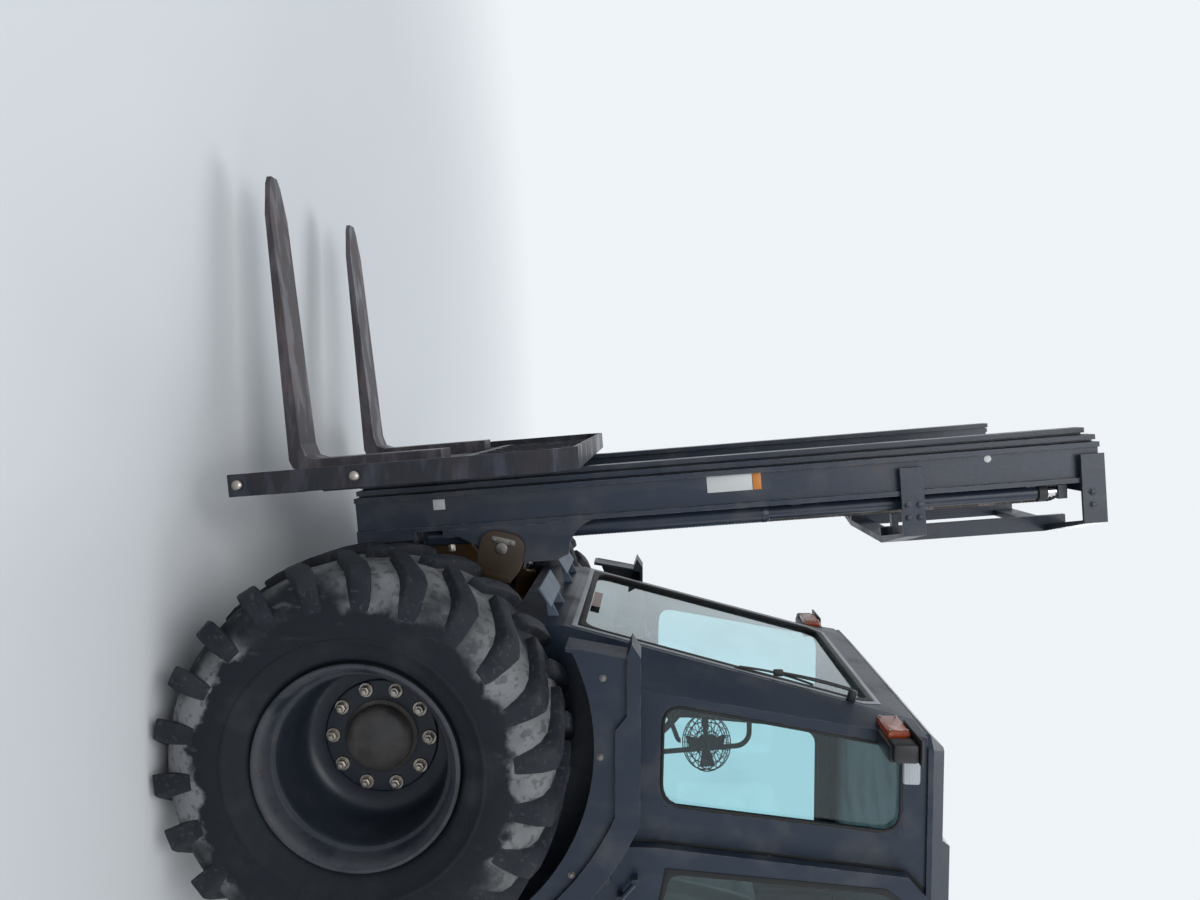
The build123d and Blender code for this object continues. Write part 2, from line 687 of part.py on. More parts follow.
def mid_mast():
    """The middle mast: rails with rollers, head, foot tie and sheave brackets."""
    top = RAIL_Z1 - MID_TOP_DROP
    left, right, web_out, _ = rail_pair(MID_Y, RAIL_LIP, MID_X, RAIL_Z0, top)
    pieces = [left, right]
    roller = round_y(OUTER_X + RAIL_D / 2, RAIL_Z0 + 70, web_out - 2, OUTER_WEB_IN - RUN, ROLLER_R)
    tip_in = MID_WEB_IN - RAIL_LIP
    tie_y = tip_in + 20
    head = box(CHAIN_X - 10, MID_X, -tie_y, tie_y, top - 26, top)
    foot = box(MID_X - 18, MID_X, -tie_y, tie_y, RAIL_Z0, RAIL_Z0 + 85)
    cap = fuse(
        box(LIFT_X - 26, MID_X - RUN - 26, tip_in - 15, LIFT_Y + 26, top - 130, top - 100),
        box(LIFT_X - 26, MID_X + 2, tip_in - 15, tip_in + 20, top - 130, top - 100),
    )
    sheave_pieces = []
    for y0 in (CHAIN_Y - CHAIN_W / 2 - 12, CHAIN_Y + CHAIN_W / 2 + 4):
        sheave_pieces.append(box(CHAIN_X - 24, CHAIN_X + 24, y0, y0 + 8, SHEAVE_Z - 30, top - 20))
    reach = CHAIN_W / 2 + 12
    sheave_pieces.append(round_y(CHAIN_X, SHEAVE_Z, CHAIN_Y - reach, CHAIN_Y + reach, 12))
    wheel_r = SHEAVE_R - CHAIN_T
    sheave_pieces.append(round_y(CHAIN_X, SHEAVE_Z, CHAIN_Y - CHAIN_W / 2, CHAIN_Y + CHAIN_W / 2, wheel_r))
    for piece in (roller, cap, *sheave_pieces):
        pieces.extend([piece, flip(piece)])
    return fuse(*pieces, head, foot)


def lift_rods():
    """The rods of the two lift cylinders, fixed under the middle mast's head."""
    top = RAIL_Z1 - MID_TOP_DROP - 130
    rod = round_z(LIFT_X, LIFT_Y, LIFT_FOOT_Z + 60, top, LIFT_ROD_R)
    return rod, flip(rod)


def inner_mast():
    """The inner mast: rails with rollers, head, foot and the free lift cylinder."""
    top = RAIL_Z1 - INNER_TOP_DROP
    left, right, web_out, _ = rail_pair(INNER_Y, RAIL_LIP, INNER_X, RAIL_Z0, top)
    tip_in = INNER_WEB_IN - RAIL_LIP
    pieces = [left, right]
    roller = round_y(MID_X + RAIL_D / 2, RAIL_Z0 + 70, web_out - 2, MID_WEB_IN - RUN, ROLLER_R)
    pieces.extend([roller, flip(roller)])
    tie_y = tip_in + 20
    back = INNER_X - 18
    head = box(back, INNER_X, -tie_y, tie_y, top - 100, top)
    clamp = box(back, INNER_X, -tie_y, tie_y, 1080, 1180)
    foot = box(back, INNER_X, -tie_y, tie_y, RAIL_Z0, RAIL_Z0 + 110)
    shelf = box(INNER_X, FREE_X + 30, -tie_y, tie_y, RAIL_Z0, RAIL_Z0 + 40)
    hold = box(INNER_X - 2, FREE_X, -25, 25, 1100, 1160)
    barrel = round_z(FREE_X, 0, RAIL_Z0, 1240, FREE_BARREL_R)
    gland = round_z(FREE_X, 0, 1240, 1290, FREE_BARREL_R + 4)
    for y in (CHAIN_Y, -CHAIN_Y):
        pieces.append(box(CHAIN_X + SHEAVE_R + 5, INNER_X, y - 15, y + 15, 10, 40))
    body = fuse(*pieces, head, foot, clamp, shelf, hold, barrel, gland)
    return body - round_z(FREE_X, 0, RAIL_Z0 + 60, 1300, FREE_ROD_R + FIT)


def free_lift_rod():
    """The free lift cylinder's rod."""
    return round_z(FREE_X, 0, RAIL_Z0 + 80, FREE_TOP_Z - 33, FREE_ROD_R)


def crosshead():
    """The block on the free lift rod, with its two chain sheaves."""
    block = box(FREE_X - 30, FREE_X + 30, -60, 60, FREE_TOP_Z - 33, FREE_TOP_Z + 32)
    pin = round_y(FREE_X, FREE_TOP_Z, -120, 120, 16)
    y0 = FREE_CHAIN_Y - CHAIN_W / 2
    wheel = round_y(FREE_X, FREE_TOP_Z, y0, y0 + CHAIN_W, FREE_SHEAVE_R - CHAIN_T)
    return fuse(block, pin, wheel, flip(wheel))


def chain_loop(x, y, z, radius, reach_front, reach_back):
    """A chain over a sheave, its front run and its back run, in flat facets round the sheave."""
    steps = 5
    hole = (radius - CHAIN_T + SEAT) / math.cos(math.pi / steps / 2)
    outer = []
    inner = []
    for i in range(steps + 1):
        turn = math.pi * i / steps
        outer.append((x + radius * math.cos(turn), z + radius * math.sin(turn)))
        inner.append((x + hole * math.cos(turn), z + hole * math.sin(turn)))
    outer = [(x + radius, reach_front)] + outer + [(x - radius, reach_back)]
    inner = [(x + hole, reach_front)] + inner + [(x - hole, reach_back)]
    return side_plate(outer + inner[::-1], y - CHAIN_W / 2, y + CHAIN_W / 2)


def lift_chains():
    """The two chains over the middle mast's sheaves."""
    low = TIE_Z - 620 + TIE_H / 2 - STAGE_LIFT
    chain = chain_loop(CHAIN_X, CHAIN_Y, SHEAVE_Z, SHEAVE_R, RAIL_Z0 + 120, low)
    return chain, flip(chain)


def free_chains():
    """The two chains over the crosshead's sheaves."""
    low = FREE_TOP_Z - FREE_LIFT / 2 - 60
    chain = chain_loop(FREE_X, FREE_CHAIN_Y, FREE_TOP_Z, FREE_SHEAVE_R, 120, low)
    return chain, flip(chain)


def carriage():
    """The carriage: two fork bars, roller plates and rollers."""
    pieces = []
    for low in (LOW_BAR_Z, HIGH_BAR_Z):
        pieces.append(box(BAR_X0, BAR_X0 + BAR_T, -CARRIAGE_HALF_W + POST_T, CARRIAGE_HALF_W - POST_T, low, low + BAR_H))
    x_mid = INNER_X + RAIL_D / 2
    plate = side_plate(
        [
            (x_mid - 46, -40), (x_mid - 46, 520), (x_mid + 46, 560), (BAR_X0, 560),
            (BAR_X0, LOW_BAR_Z), (BAR_X0 - 34, LOW_BAR_Z), (BAR_X0 - 34, -40),
        ],
        PLATE_Y - PLATE_T, PLATE_Y,
    )
    pieces.extend([plate, flip(plate)])
    for z in (16, 460):
        roller = round_y(x_mid, z, PLATE_Y - 4, INNER_WEB_IN - RUN, ROLLER_R)
        pieces.extend([roller, flip(roller)])
    upright = box(BAR_X0, BAR_X0 + 30, PLATE_Y - PLATE_T - 30, PLATE_Y + 30, LOW_BAR_Z + BAR_H, HIGH_BAR_Z)
    pieces.extend([upright, flip(upright)])
    pieces.append(box(BAR_X0 - 20, BAR_X0, -PLATE_Y + 4, PLATE_Y - 4, 100, 150))
    for y in (FREE_CHAIN_Y, -FREE_CHAIN_Y):
        pieces.append(box(FREE_X + FREE_SHEAVE_R + 5, BAR_X0, y - 12, y + 12, 100, 150))
    return fuse(*pieces)


def backrest():
    """The load backrest: side posts, top bar with cut corners and upright bars."""
    half = CARRIAGE_HALF_W
    low = REST_TOP_Z - REST_CUT
    x1 = POST_X0 + POST_D
    outer = [
        (half, POST_Z0), (half, low), (half - REST_CUT, REST_TOP_Z),
        (-half + REST_CUT, REST_TOP_Z), (-half, low), (-half, POST_Z0),
    ]
    t = POST_T
    inner = [
        (-half + t, POST_Z0), (-half + t, low - 6), (-half + REST_CUT + 6, REST_TOP_Z - t),
        (half - REST_CUT - 6, REST_TOP_Z - t), (half - t, low - 6), (half - t, POST_Z0),
    ]
    frame = cross_plate(outer + inner, POST_X0, x1)
    pieces = [frame]
    floor = HIGH_BAR_Z + BAR_H + REST_GAP
    rail = box(BAR_X0, POST_X0 + 52, -half + t, half - t, floor, floor + 40)
    pieces.append(rail)
    step = 2 * (half - t) / (REST_BARS + 1)
    for i in range(REST_BARS):
        y = -half + t + (i + 1) * step
        pieces.append(box(POST_X0 + 2, POST_X0 + 52, y - REST_BAR_W / 2, y + REST_BAR_W / 2, floor, REST_TOP_Z - t))
    for z in (35, -361):
        bolt = round_y(POST_X0 + 38, z, half - 1, half + 9, 16)
        pieces.extend([bolt, flip(bolt)])
    return fuse(*pieces)


def fork():
    """The left fork: a bent bar with two hooks behind its shank and a tapered blade."""
    x0 = BAR_X0 + BAR_T + SEAT
    x1 = x0 + FORK_T
    top = HIGH_BAR_Z + BAR_H + 34
    z = FORK_Z
    tip = x1 + FORK_L
    blade = side_plate(
        [
            (x0, z + 60), (x0 + 22, z + 12), (x0 + 50, z), (tip, z), (tip, z + FORK_TIP_T),
            (x1 + 60, z + FORK_T), (x1 + 14, z + FORK_T + 14), (x1, z + FORK_T + 50), (x1, top), (x0, top),
        ],
        FORK_Y - FORK_W / 2, FORK_Y + FORK_W / 2,
    )
    ends = flat_plate(
        [
            (x0 - 60, FORK_Y - FORK_W / 2), (tip - 150, FORK_Y - FORK_W / 2), (tip - 30, FORK_Y - 45),
            (tip, FORK_Y - 25), (tip, FORK_Y + 25), (tip - 30, FORK_Y + 45),
            (tip - 150, FORK_Y + FORK_W / 2), (x0 - 60, FORK_Y + FORK_W / 2),
        ],
        z - 1, top + 1,
    )
    blade = blade & ends
    bar_top = HIGH_BAR_Z + BAR_H
    half = FORK_W / 2 - 25
    high = box(BAR_X0 + 12, x0 + 5, FORK_Y - half, FORK_Y + half, bar_top + SEAT, bar_top + 34)
    low = box(x0 - 30, x0 + 5, FORK_Y - half, FORK_Y + half, LOW_BAR_Z - 34, LOW_BAR_Z - RUN)
    return fuse(blade, high, low)


def tilt_line():
    """The rear pin, the front pin, the length and the rise of the left tilt cylinder."""
    x1, z1 = mast_point(TILT_PIN_X, TILT_PIN_Z)
    length = math.hypot(x1 - TILT_BASE_X, z1 - TILT_BASE_Z)
    rise = math.degrees(math.atan2(z1 - TILT_BASE_Z, x1 - TILT_BASE_X))
    return length, rise


def tilt_cylinder():
    """The left tilt cylinder's barrel and rod."""
    length, rise = tilt_line()
    place = Pos(TILT_BASE_X, 0, TILT_BASE_Z) * Rot(0, -rise, 0)
    half = TILT_EYE_W / 2
    gland = length - 290
    barrel = fuse(
        round_x(TILT_Y, 0, 60, gland, TILT_BARREL_R),
        round_y(0, 0, TILT_Y - half, TILT_Y + half, 40),
        box(0, 65, TILT_Y - half, TILT_Y + half, -34, 34),
        round_x(TILT_Y, 0, gland - 30, gland, TILT_BARREL_R + 3),
    )
    barrel = barrel - round_y(0, 0, TILT_Y - 40, TILT_Y + 40, TILT_PIN_R + FIT)
    barrel = barrel - round_x(TILT_Y, 0, 70, length, TILT_ROD_R + FIT)
    rod = round_x(TILT_Y, 0, 250, length - 100, TILT_ROD_R)
    space = TILT_EAR_T / 2 + RUN
    h = TILT_CLEVIS_H
    nose = length + TILT_CLEVIS_R
    near = TILT_Y + space
    cheek = side_plate(
        [
            (length - 120, -h + 25), (length - 60, -h), (nose - 45, -h), (nose, -h + 50),
            (nose, h - 50), (nose - 45, h), (length - 60, h), (length - 120, h - 25),
        ],
        near, near + TILT_CLEVIS_T,
    )
    other = Pos(0, -2 * space - TILT_CLEVIS_T, 0) * cheek
    side = space + TILT_CLEVIS_T
    neck = box(length - 120, length - 92, TILT_Y - side, TILT_Y + side, -h + 25, h - 25)
    pin = round_y(length, 0, TILT_Y - side, TILT_Y + side + 6, TILT_PIN_R)
    return place * barrel, place * fuse(rod, cheek, other, neck, pin)


def screen_x(z):
    """The windscreen's outer face at a height."""
    return SCREEN_X - SCREEN_SLOPE * (z - SCREEN_Z)


def corner_x(z):
    """The front corner of the cab's side at a height."""
    return CORNER_X - CORNER_SLOPE * (z - SCREEN_Z)


def cab_section(z, inset):
    """The cab's plan outline at a height, inset from its outer face."""
    x0 = screen_x(z) - inset
    x1 = corner_x(z) - inset
    y0 = CAB_FRONT_HALF_W - 0.5 * inset
    y1 = CAB_HALF_W - inset
    x2 = CAB_REAR_X + inset
    return [(x0, y0, z), (x1, y1, z), (x2, y1, z), (x2, -y1, z), (x1, -y1, z), (x0, -y0, z)]


def cab_block(z0, z1, inset):
    """The cab's body between two heights."""
    lower = make_face(Polyline(*cab_section(z0, inset), close=True))
    upper = make_face(Polyline(*cab_section(z1, inset), close=True))
    return loft([lower, upper], ruled=True)


def quarter_window(grow):
    """The quarter window's outline, grown outwards."""
    g = grow
    return [
        (116 + g, 1621 - g), (-249 - g, 1613 - g), (-331 - g, 2440 + g), (-20 + g, 2440 + g),
    ]


def arc_x(radius, z):
    """The x of a point on a circle about the fender arc's centre, at a height."""
    return FENDER_ARC_X - math.sqrt(radius ** 2 - (z - FENDER_ARC_Z) ** 2)


def arc_z(radius, x):
    """The height of a point on a circle about the fender arc's centre."""
    return FENDER_ARC_Z + math.sqrt(radius ** 2 - (x - FENDER_ARC_X) ** 2)


def fender_arc(radius, z0, z1):
    """Three points of an arc about the fender arc's centre, from one height to another."""
    middle = (z0 + z1) / 2
    return [(arc_x(radius, z0), z0), (arc_x(radius, middle), middle), (arc_x(radius, z1), z1)]


def door_outline(shrink):
    """The door's outline, shrunk from the door opening."""
    s = shrink
    front = DOOR_FRONT_X - s
    radius = FENDER_ARC_R + 12 + s
    low = DOOR_Z0 + s
    high = arc_z(radius, front)
    points = [
        (front, high),
        (front, SILL_Z + 60),
        (front - DOOR_LEAN * (DOOR_Z1 - 70 - SILL_Z), DOOR_Z1 - 70),
        (front - 150, DOOR_Z1 - s),
        (DOOR_REAR_X + s, DOOR_Z1 - s),
        (DOOR_REAR_X + s, low),
        (arc_x(radius, low), low),
    ]
    return [("line", points), ("arc", fender_arc(radius, low, high))]


def screen_outline():
    """The windscreen's outline seen from the front, as (y, z) points."""
    half = CAB_FRONT_HALF_W - SCREEN_BORDER
    low = SCREEN_Z + SCREEN_BORDER
    return [
        (half, low), (half, SCREEN_TOP_Z - 60), (half - 40, SCREEN_TOP_Z),
        (-half + 40, SCREEN_TOP_Z), (-half, SCREEN_TOP_Z - 60), (-half, low),
    ]


def cab_frame():
    """The cab's posts, sills and rails, as a shell with its windows and doorways cut."""
    shell = cab_block(SILL_Z, CAB_TOP_Z, 0) - cab_block(SILL_Z - 1, CAB_TOP_Z + 1, CAB_WALL)
    screen = cross_plate(screen_outline(), -200, 400)
    rear = cross_plate(
        [(600, 1760), (600, 2420), (-600, 2420), (-600, 1760)],
        CAB_REAR_X - 60, CAB_REAR_X + 100,
    )
    side = side_plate(quarter_window(0), -1000, 1000)
    doorway = curved_plate(door_outline(-DOOR_GAP), -1000, 1000)
    shell = shell - screen - rear - side - doorway
    low_x = screen_x(SCREEN_Z)
    high_x = screen_x(SILL_Z)
    lower = side_plate(
        [(low_x, SCREEN_Z), (high_x, SILL_Z), (high_x - CAB_WALL, SILL_Z), (low_x - CAB_WALL, SCREEN_Z)],
        -CAB_FRONT_HALF_W, CAB_FRONT_HALF_W,
    )
    lower = lower - screen
    post_x = DOOR_FRONT_X + DOOR_GAP
    radius = FENDER_ARC_R + SEAT
    high = arc_z(radius, post_x)
    corner = [(arc_x(radius, SILL_Z), SILL_Z), (post_x, SILL_Z), (post_x, high)]
    front_post = curved_plate(
        [("line", corner), ("arc", fender_arc(radius, high, SILL_Z))],
        CAB_HALF_W - CAB_WALL, CAB_HALF_W,
    )
    back_post = box(CAB_REAR_X, DOOR_REAR_X - DOOR_GAP, CAB_HALF_W - CAB_WALL, CAB_HALF_W, FLOOR_Z + FLOOR_T, SILL_Z)
    back_wall = box(CAB_REAR_X, CAB_REAR_X + CAB_WALL, -CAB_HALF_W, CAB_HALF_W, FLOOR_Z + FLOOR_T, SILL_Z)
    return fuse(shell, lower, front_post, flip(front_post), back_post, flip(back_post), back_wall)


def cab_floor():
    """The cab's floor with its firewall and the low walls between the front wheels."""
    half = CAB_FRONT_HALF_W
    z1 = FLOOR_Z + FLOOR_T
    inner_x = SCREEN_X - CAB_WALL
    floor = box(CAB_REAR_X, inner_x, -half, half, FLOOR_Z, z1)
    sill = box(CAB_REAR_X, arc_x(FENDER_ARC_R, FLOOR_Z) - RUN, half, CAB_HALF_W, FLOOR_Z, z1)
    firewall = box(inner_x, SCREEN_X, -half, half, FLOOR_Z, SCREEN_Z)
    radius = FENDER_ARC_R
    slope = [
        (arc_x(radius, SILL_Z), SILL_Z), (screen_x(SILL_Z) - CAB_WALL, SILL_Z), (inner_x, SCREEN_Z),
        (inner_x, FLOOR_Z), (arc_x(radius, FLOOR_Z), FLOOR_Z),
    ]
    low_wall = curved_plate([("line", slope), ("arc", fender_arc(radius, FLOOR_Z, SILL_Z))], half - CAB_WALL, half)
    return fuse(floor, sill, flip(sill), firewall, low_wall, flip(low_wall))


def fender():
    """The left fender: top, front and rear, outer skirt and the thick moulded edge."""
    inner_y = CAB_FRONT_HALF_W
    t = FENDER_T
    z = FENDER_TOP_Z
    end = FENDER_END_Z
    front = FENDER_FRONT_X
    outer = FENDER_ARC_R
    nose = [(front + 6, z - 30), (front - 40, z), (arc_x(outer, z), z)]
    top_arc = fender_arc(outer, z, end)
    low_arc = fender_arc(outer - t, end, z - t)
    tail = [top_arc[2], low_arc[0]]
    wall_x = front - FENDER_STEP
    foot = (FENDER_FOOT_X, FENDER_FOOT_Z)
    under = [
        low_arc[2], (wall_x - t, z - t), (foot[0] - t, foot[1]), foot, (wall_x, z - 46), (front - 40, z - 46), nose[0],
    ]
    shell = curved_plate(
        [("line", nose), ("arc", top_arc), ("line", tail), ("arc", low_arc), ("line", under)],
        inner_y, FENDER_Y,
    )
    # in front of the cab's cut corner the shell is only as deep as the cab's side lets it be
    corner = [
        (screen_x(z), inner_y - 1), (front + 20, inner_y - 1), (front + 20, CAB_HALF_W), (corner_x(z), CAB_HALF_W),
    ]
    shell = shell - flat_plate(corner, FENDER_FOOT_Z - 1, z + 1)
    skirt_r = FENDER_SKIRT_R
    skirt_arc = [
        (-math.sqrt(skirt_r ** 2 - (end - FRONT_R) ** 2), end),
        (-0.3 * skirt_r, FRONT_R + skirt_r * math.sqrt(1 - 0.3 ** 2)),
        (foot[0], FRONT_R + math.sqrt(skirt_r ** 2 - foot[0] ** 2)),
    ]
    skirt = curved_plate(
        [
            ("line", nose), ("arc", top_arc), ("line", [top_arc[2], skirt_arc[0]]),
            ("arc", skirt_arc), ("line", [skirt_arc[2], (wall_x, z - 46), (front - 40, z - 46), nose[0]]),
        ],
        FENDER_Y - t, FENDER_Y,
    )
    m = MOULD_H
    mould_arc = fender_arc(outer - m, end, z - m)
    edge = [mould_arc[2], (68, z - m), (116, z - 46), (front - 40, z - 46), nose[0]]
    mould = curved_plate(
        [
            ("line", nose), ("arc", top_arc), ("line", [top_arc[2], mould_arc[0]]),
            ("arc", mould_arc), ("line", edge),
        ],
        FENDER_Y - t, FENDER_Y + MOULD_OUT,
    )
    return fuse(shell, skirt, mould)


def door():
    """The left door with its window cut, and its pane."""
    y0 = CAB_HALF_W + DOOR_GAP
    y1 = y0 + DOOR_T
    panel = curved_plate(door_outline(DOOR_GAP), y0, y1)
    window = [
        (-455, 1640), (-505, 2380), (-560, 2450), (-1240, 2450), (-1270, 2420), (-1270, 1200),
        (-1240, 1170), (-960, 1170), (-880, 1330), (-720, 1500), (-560, 1620),
    ]
    opening = side_plate(window, y0 - 1, y1 + 1)
    middle = (y0 + y1) / 2
    pane = side_plate(window, middle - GLASS_T / 2, middle + GLASS_T / 2)
    handle = fuse(
        box(-500, -470, y1, y1 + 40, 1520, 1540),
        box(-560, -530, y1, y1 + 40, 1470, 1490),
        bar((-485, y1 + 34, 1530), (-545, y1 + 34, 1480), 9),
    )
    hinges = []
    for z in DOOR_HINGE_Z:
        ring = round_z(DOOR_HINGE_X, DOOR_HINGE_Y, z - 17, z + 17, 16)
        leaf = box(DOOR_HINGE_X, DOOR_REAR_X + 60, y1, y1 + 10, z - 17, z + 17)
        hole = round_z(DOOR_HINGE_X, DOOR_HINGE_Y, z - 20, z + 20, DOOR_PIN_R + FIT)
        hinges.append(fuse(ring, leaf) - hole)
    return fuse(panel - opening, handle, *hinges), pane


def hinge_lugs():
    """The lugs and pins on the left rear post that carry the left door."""
    x = DOOR_HINGE_X
    y = DOOR_HINGE_Y
    pieces = []
    for z in DOOR_HINGE_Z:
        pieces.append(round_z(x, y, z - 44, z + 44, DOOR_PIN_R))
        for low in (z - 44, z + 20):
            pieces.append(box(x - 12, x + 12, CAB_HALF_W - 1, y, low, low + 24))
            pieces.append(round_z(x, y, low, low + 24, 12))
    return pieces


def roof():
    """The roof slab with its raised cap."""
    half = CAB_HALF_W + 10
    top = CAB_TOP_Z + ROOF_T
    slab = box(CAB_REAR_X - 40, screen_x(CAB_TOP_Z) - 8, -half, half, CAB_TOP_Z, top)
    slab = chamfer(slab.edges().filter_by(Axis.Z), 40)
    slab = chamfer(slab.faces().sort_by(Axis.Z)[-1].edges(), ROOF_T - 18)
    cap = box(-1300, -420, -560, 560, top, top + ROOF_CAP_T)
    cap = chamfer(cap.faces().sort_by(Axis.Z)[-1].edges(), 50)
    return fuse(slab, cap)


def windscreen():
    """The laminated windscreen in its frame's plane."""
    z0 = SCREEN_Z
    z1 = SCREEN_TOP_Z
    x0 = screen_x(z0) - 12
    x1 = screen_x(z1) - 12
    half = CAB_FRONT_HALF_W
    blank = side_plate([(x0, z0), (x1, z1), (x1 - GLASS_T, z1), (x0 - GLASS_T, z0)], -half, half)
    return blank & cross_plate(screen_outline(), -200, 400)


def side_windows():
    """The two quarter windows."""
    y = CAB_HALF_W - CAB_WALL / 2
    pane = side_plate(quarter_window(0), y - GLASS_T / 2, y + GLASS_T / 2)
    return pane, flip(pane)


def rear_window():
    """The rear window."""
    x = CAB_REAR_X + CAB_WALL / 2
    return box(x - GLASS_T / 2, x + GLASS_T / 2, -600, 600, 1760, 2420)


def seat():
    """The seat's cushion and back."""
    cushion = box(-900, -420, -250, 250, 1420, 1530)
    back = side_plate([(-900, 1500), (-1010, 2040), (-920, 2060), (-800, 1530)], -240, 240)
    return fuse(cushion, back)


def seat_base():
    """The seat's pedestal."""
    return box(-850, -480, -200, 200, FLOOR_Z + FLOOR_T, 1420)


def dash():
    """The dash below the windscreen."""
    x = SCREEN_X - CAB_WALL
    z = FLOOR_Z + FLOOR_T
    top = 1435.0
    return side_plate([(x, z), (x, SCREEN_Z), (screen_x(top) - CAB_WALL, top), (60, top), (60, z)], -430, 430)


def steering_wheel():
    """The steering wheel and its column."""
    foot = (80, 0, 1400)
    hub_at = (-165, 0, 1655)
    turn = math.degrees(math.atan2(foot[0] - hub_at[0], hub_at[2] - foot[2]))
    place = Pos(*hub_at) * Rot(0, -turn, 0)
    spokes = []
    for angle in (0, 120, 240):
        spokes.append(Rot(0, 0, angle) * Pos(100, 0, 0) * Box(200, 26, 12))
    wheel = place * fuse(Torus(190, 15), Cylinder(42, 30), *spokes)
    return fuse(wheel, bar(hub_at, foot, 30)) - dash()


def fan():
    """The round cab fan on its bent stalk."""
    y = 380.0
    cage = Pos(-155, y, 1790) * Rot(0, 80, 0) * Cylinder(105, 60)
    return fuse(bar((100, y, 1435), (100, y, 1580), 10), bar((100, y, 1580), (-150, y, 1700), 10), cage)


def grab_bars():
    """The bent bar that stands on the floor beside the far doorway."""
    y = -420.0
    z = FLOOR_Z + FLOOR_T
    hoop = FilletPolyline((-250, y, z + 4), (-300, y, 2060), (-480, y, 2060), (-580, y, z + 4), radius=70)
    pipe = sweep(Plane(origin=hoop @ 0, z_dir=hoop % 0) * Circle(12), path=hoop)
    return fuse(pipe, round_z(-250, y, z, z + 10, 30), round_z(-580, y, z, z + 10, 30))


def hood():
    """The engine hood: a top and two sides, open to the cab and to the grille."""
    outer = side_plate(
        [
            (HOOD_FRONT_X, HOOD_Z0), (HOOD_FRONT_X, HOOD_FRONT_Z), (HOOD_REAR_X + 160, HOOD_REAR_Z + 20),
            (HOOD_REAR_X, HOOD_REAR_Z - 60), (HOOD_REAR_X, HOOD_Z0),
        ],
        -HOOD_HALF_W, HOOD_HALF_W,
    )
    t = HOOD_T
    space = side_plate(
        [
            (HOOD_FRONT_X + 1, HOOD_Z0 - 1), (HOOD_FRONT_X + 1, HOOD_FRONT_Z - t),
            (HOOD_REAR_X + 155, HOOD_REAR_Z + 20 - t), (HOOD_REAR_X - 1, HOOD_REAR_Z - 60 - t),
            (HOOD_REAR_X - 1, HOOD_Z0 - 1),
        ],
        -HOOD_HALF_W + t, HOOD_HALF_W - t,
    )
    half = HOOD_HALF_W + 1
    return outer - space - round_y(HOOD_HINGE_X, HOOD_HINGE_Z, -half, half, HOOD_PIN_R + FIT)


def grille():
    """The radiator guard at the rear: a frame with upright bars."""
    x0 = HOOD_REAR_X + 10
    x1 = HOOD_REAR_X + 50
    half = HOOD_HALF_W - HOOD_T - RUN - 4
    z1 = HOOD_REAR_Z - 60 - HOOD_T - 20
    frame = box(x0, x1, -half, half, FRAME_Z1, z1) - box(x0 - 1, x1 + 1, -half + 30, half - 30, FRAME_Z1 + 60, z1 - 30)
    bars = []
    count = 13
    for i in range(count):
        y = (i + 1) * 2 * (half - 30) / (count + 1) - (half - 30)
        bars.append(box(x0 + 8, x1 - 8, y - 5, y + 5, FRAME_Z1 + 50, z1 - 20))
    core = box(x1, x1 + 70, -half + 20, half - 20, FRAME_Z1, z1 - 10)
    pin_y = HOOD_HALF_W + 6
    pins = both(round_y(HOOD_HINGE_X, HOOD_HINGE_Z, half - 15, pin_y, HOOD_PIN_R))
    return fuse(frame, *bars, core, pins)


def counterweight():
    """The cast counterweight behind the frame."""
    block = side_plate(
        [
            (WEIGHT_X1, WEIGHT_Z0), (WEIGHT_X1, WEIGHT_Z1), (WEIGHT_X0 + 90, WEIGHT_Z1),
            (WEIGHT_X0, WEIGHT_Z1 - 120), (WEIGHT_X0, WEIGHT_Z0 + 110), (WEIGHT_X0 + 90, WEIGHT_Z0),
        ],
        -WEIGHT_HALF_W, WEIGHT_HALF_W,
    )
    corners = block.edges().filter_by(Axis.Z).sort_by(Axis.X)[:2]
    block = chamfer(corners, 90)
    recess = box(WEIGHT_X0 - 1, WEIGHT_X0 + 120, -70, 70, 690, 800)
    pin = round_z(WEIGHT_X0 + 70, 0, 660, 860, 20)
    return fuse(block - recess, pin)


def stack():
    """The exhaust stack with its silencer and bent tip."""
    silencer = round_z(STACK_X, STACK_Y, FRAME_Z1, 1900, 62)
    pipe = round_z(STACK_X, STACK_Y, 1900, STACK_TOP_Z, STACK_R)
    tip = bar((STACK_X, STACK_Y, STACK_TOP_Z - 10), (STACK_X - 70, STACK_Y, STACK_TOP_Z + 60), STACK_R)
    return fuse(silencer, pipe, tip)


def side_tank():
    """The left tank between the wheels, with its steps."""
    x0 = -1440.0
    x1 = -905.0
    tank = box(x0, x1, 300, 640, 470, 860)
    tank = chamfer(tank.edges().filter_by(Axis.X), 40)
    hanger = box(-1200, -1100, FRAME_OUT_Y, 300, 700, 820)
    tread_one = box(x0 + 60, x1 - 40, 640, 820, 520, 550)
    tread_two = box(x0 + 60, x1 - 40, 640, 760, 800, 830)
    side_one = box(x0 + 60, x0 + 75, 640, 760, 520, 830)
    side_two = box(x1 - 55, x1 - 40, 640, 760, 520, 830)
    return fuse(tank, hanger, tread_one, tread_two, side_one, side_two)


def roof_lamps():
    """The lamps that stand out from the cab's upper front corners."""
    lamp = box(-20, 70, 600, 900, 2350, 2450) - cab_block(SILL_Z, CAB_TOP_Z, 0)
    return lamp, flip(lamp)


def front_plates():
    """The two small sloping plates between the cab and the mast, on their brackets."""
    t = SMALL_PLATE_T
    end = SMALL_PLATE_X
    plate = side_plate([(end - 70, 1215), (end, 1172), (end, 1172 - t), (end - 70, 1215 - t)], 140, 500)
    arms = []
    for y in (200, 420):
        arms.append(side_plate([(SCREEN_X, 1235), (end - 60, 1209 - t / 2), (end - 60, 1185), (SCREEN_X, 1195)], y, y + 12))
    plate = fuse(plate, *arms)
    return plate, flip(plate)


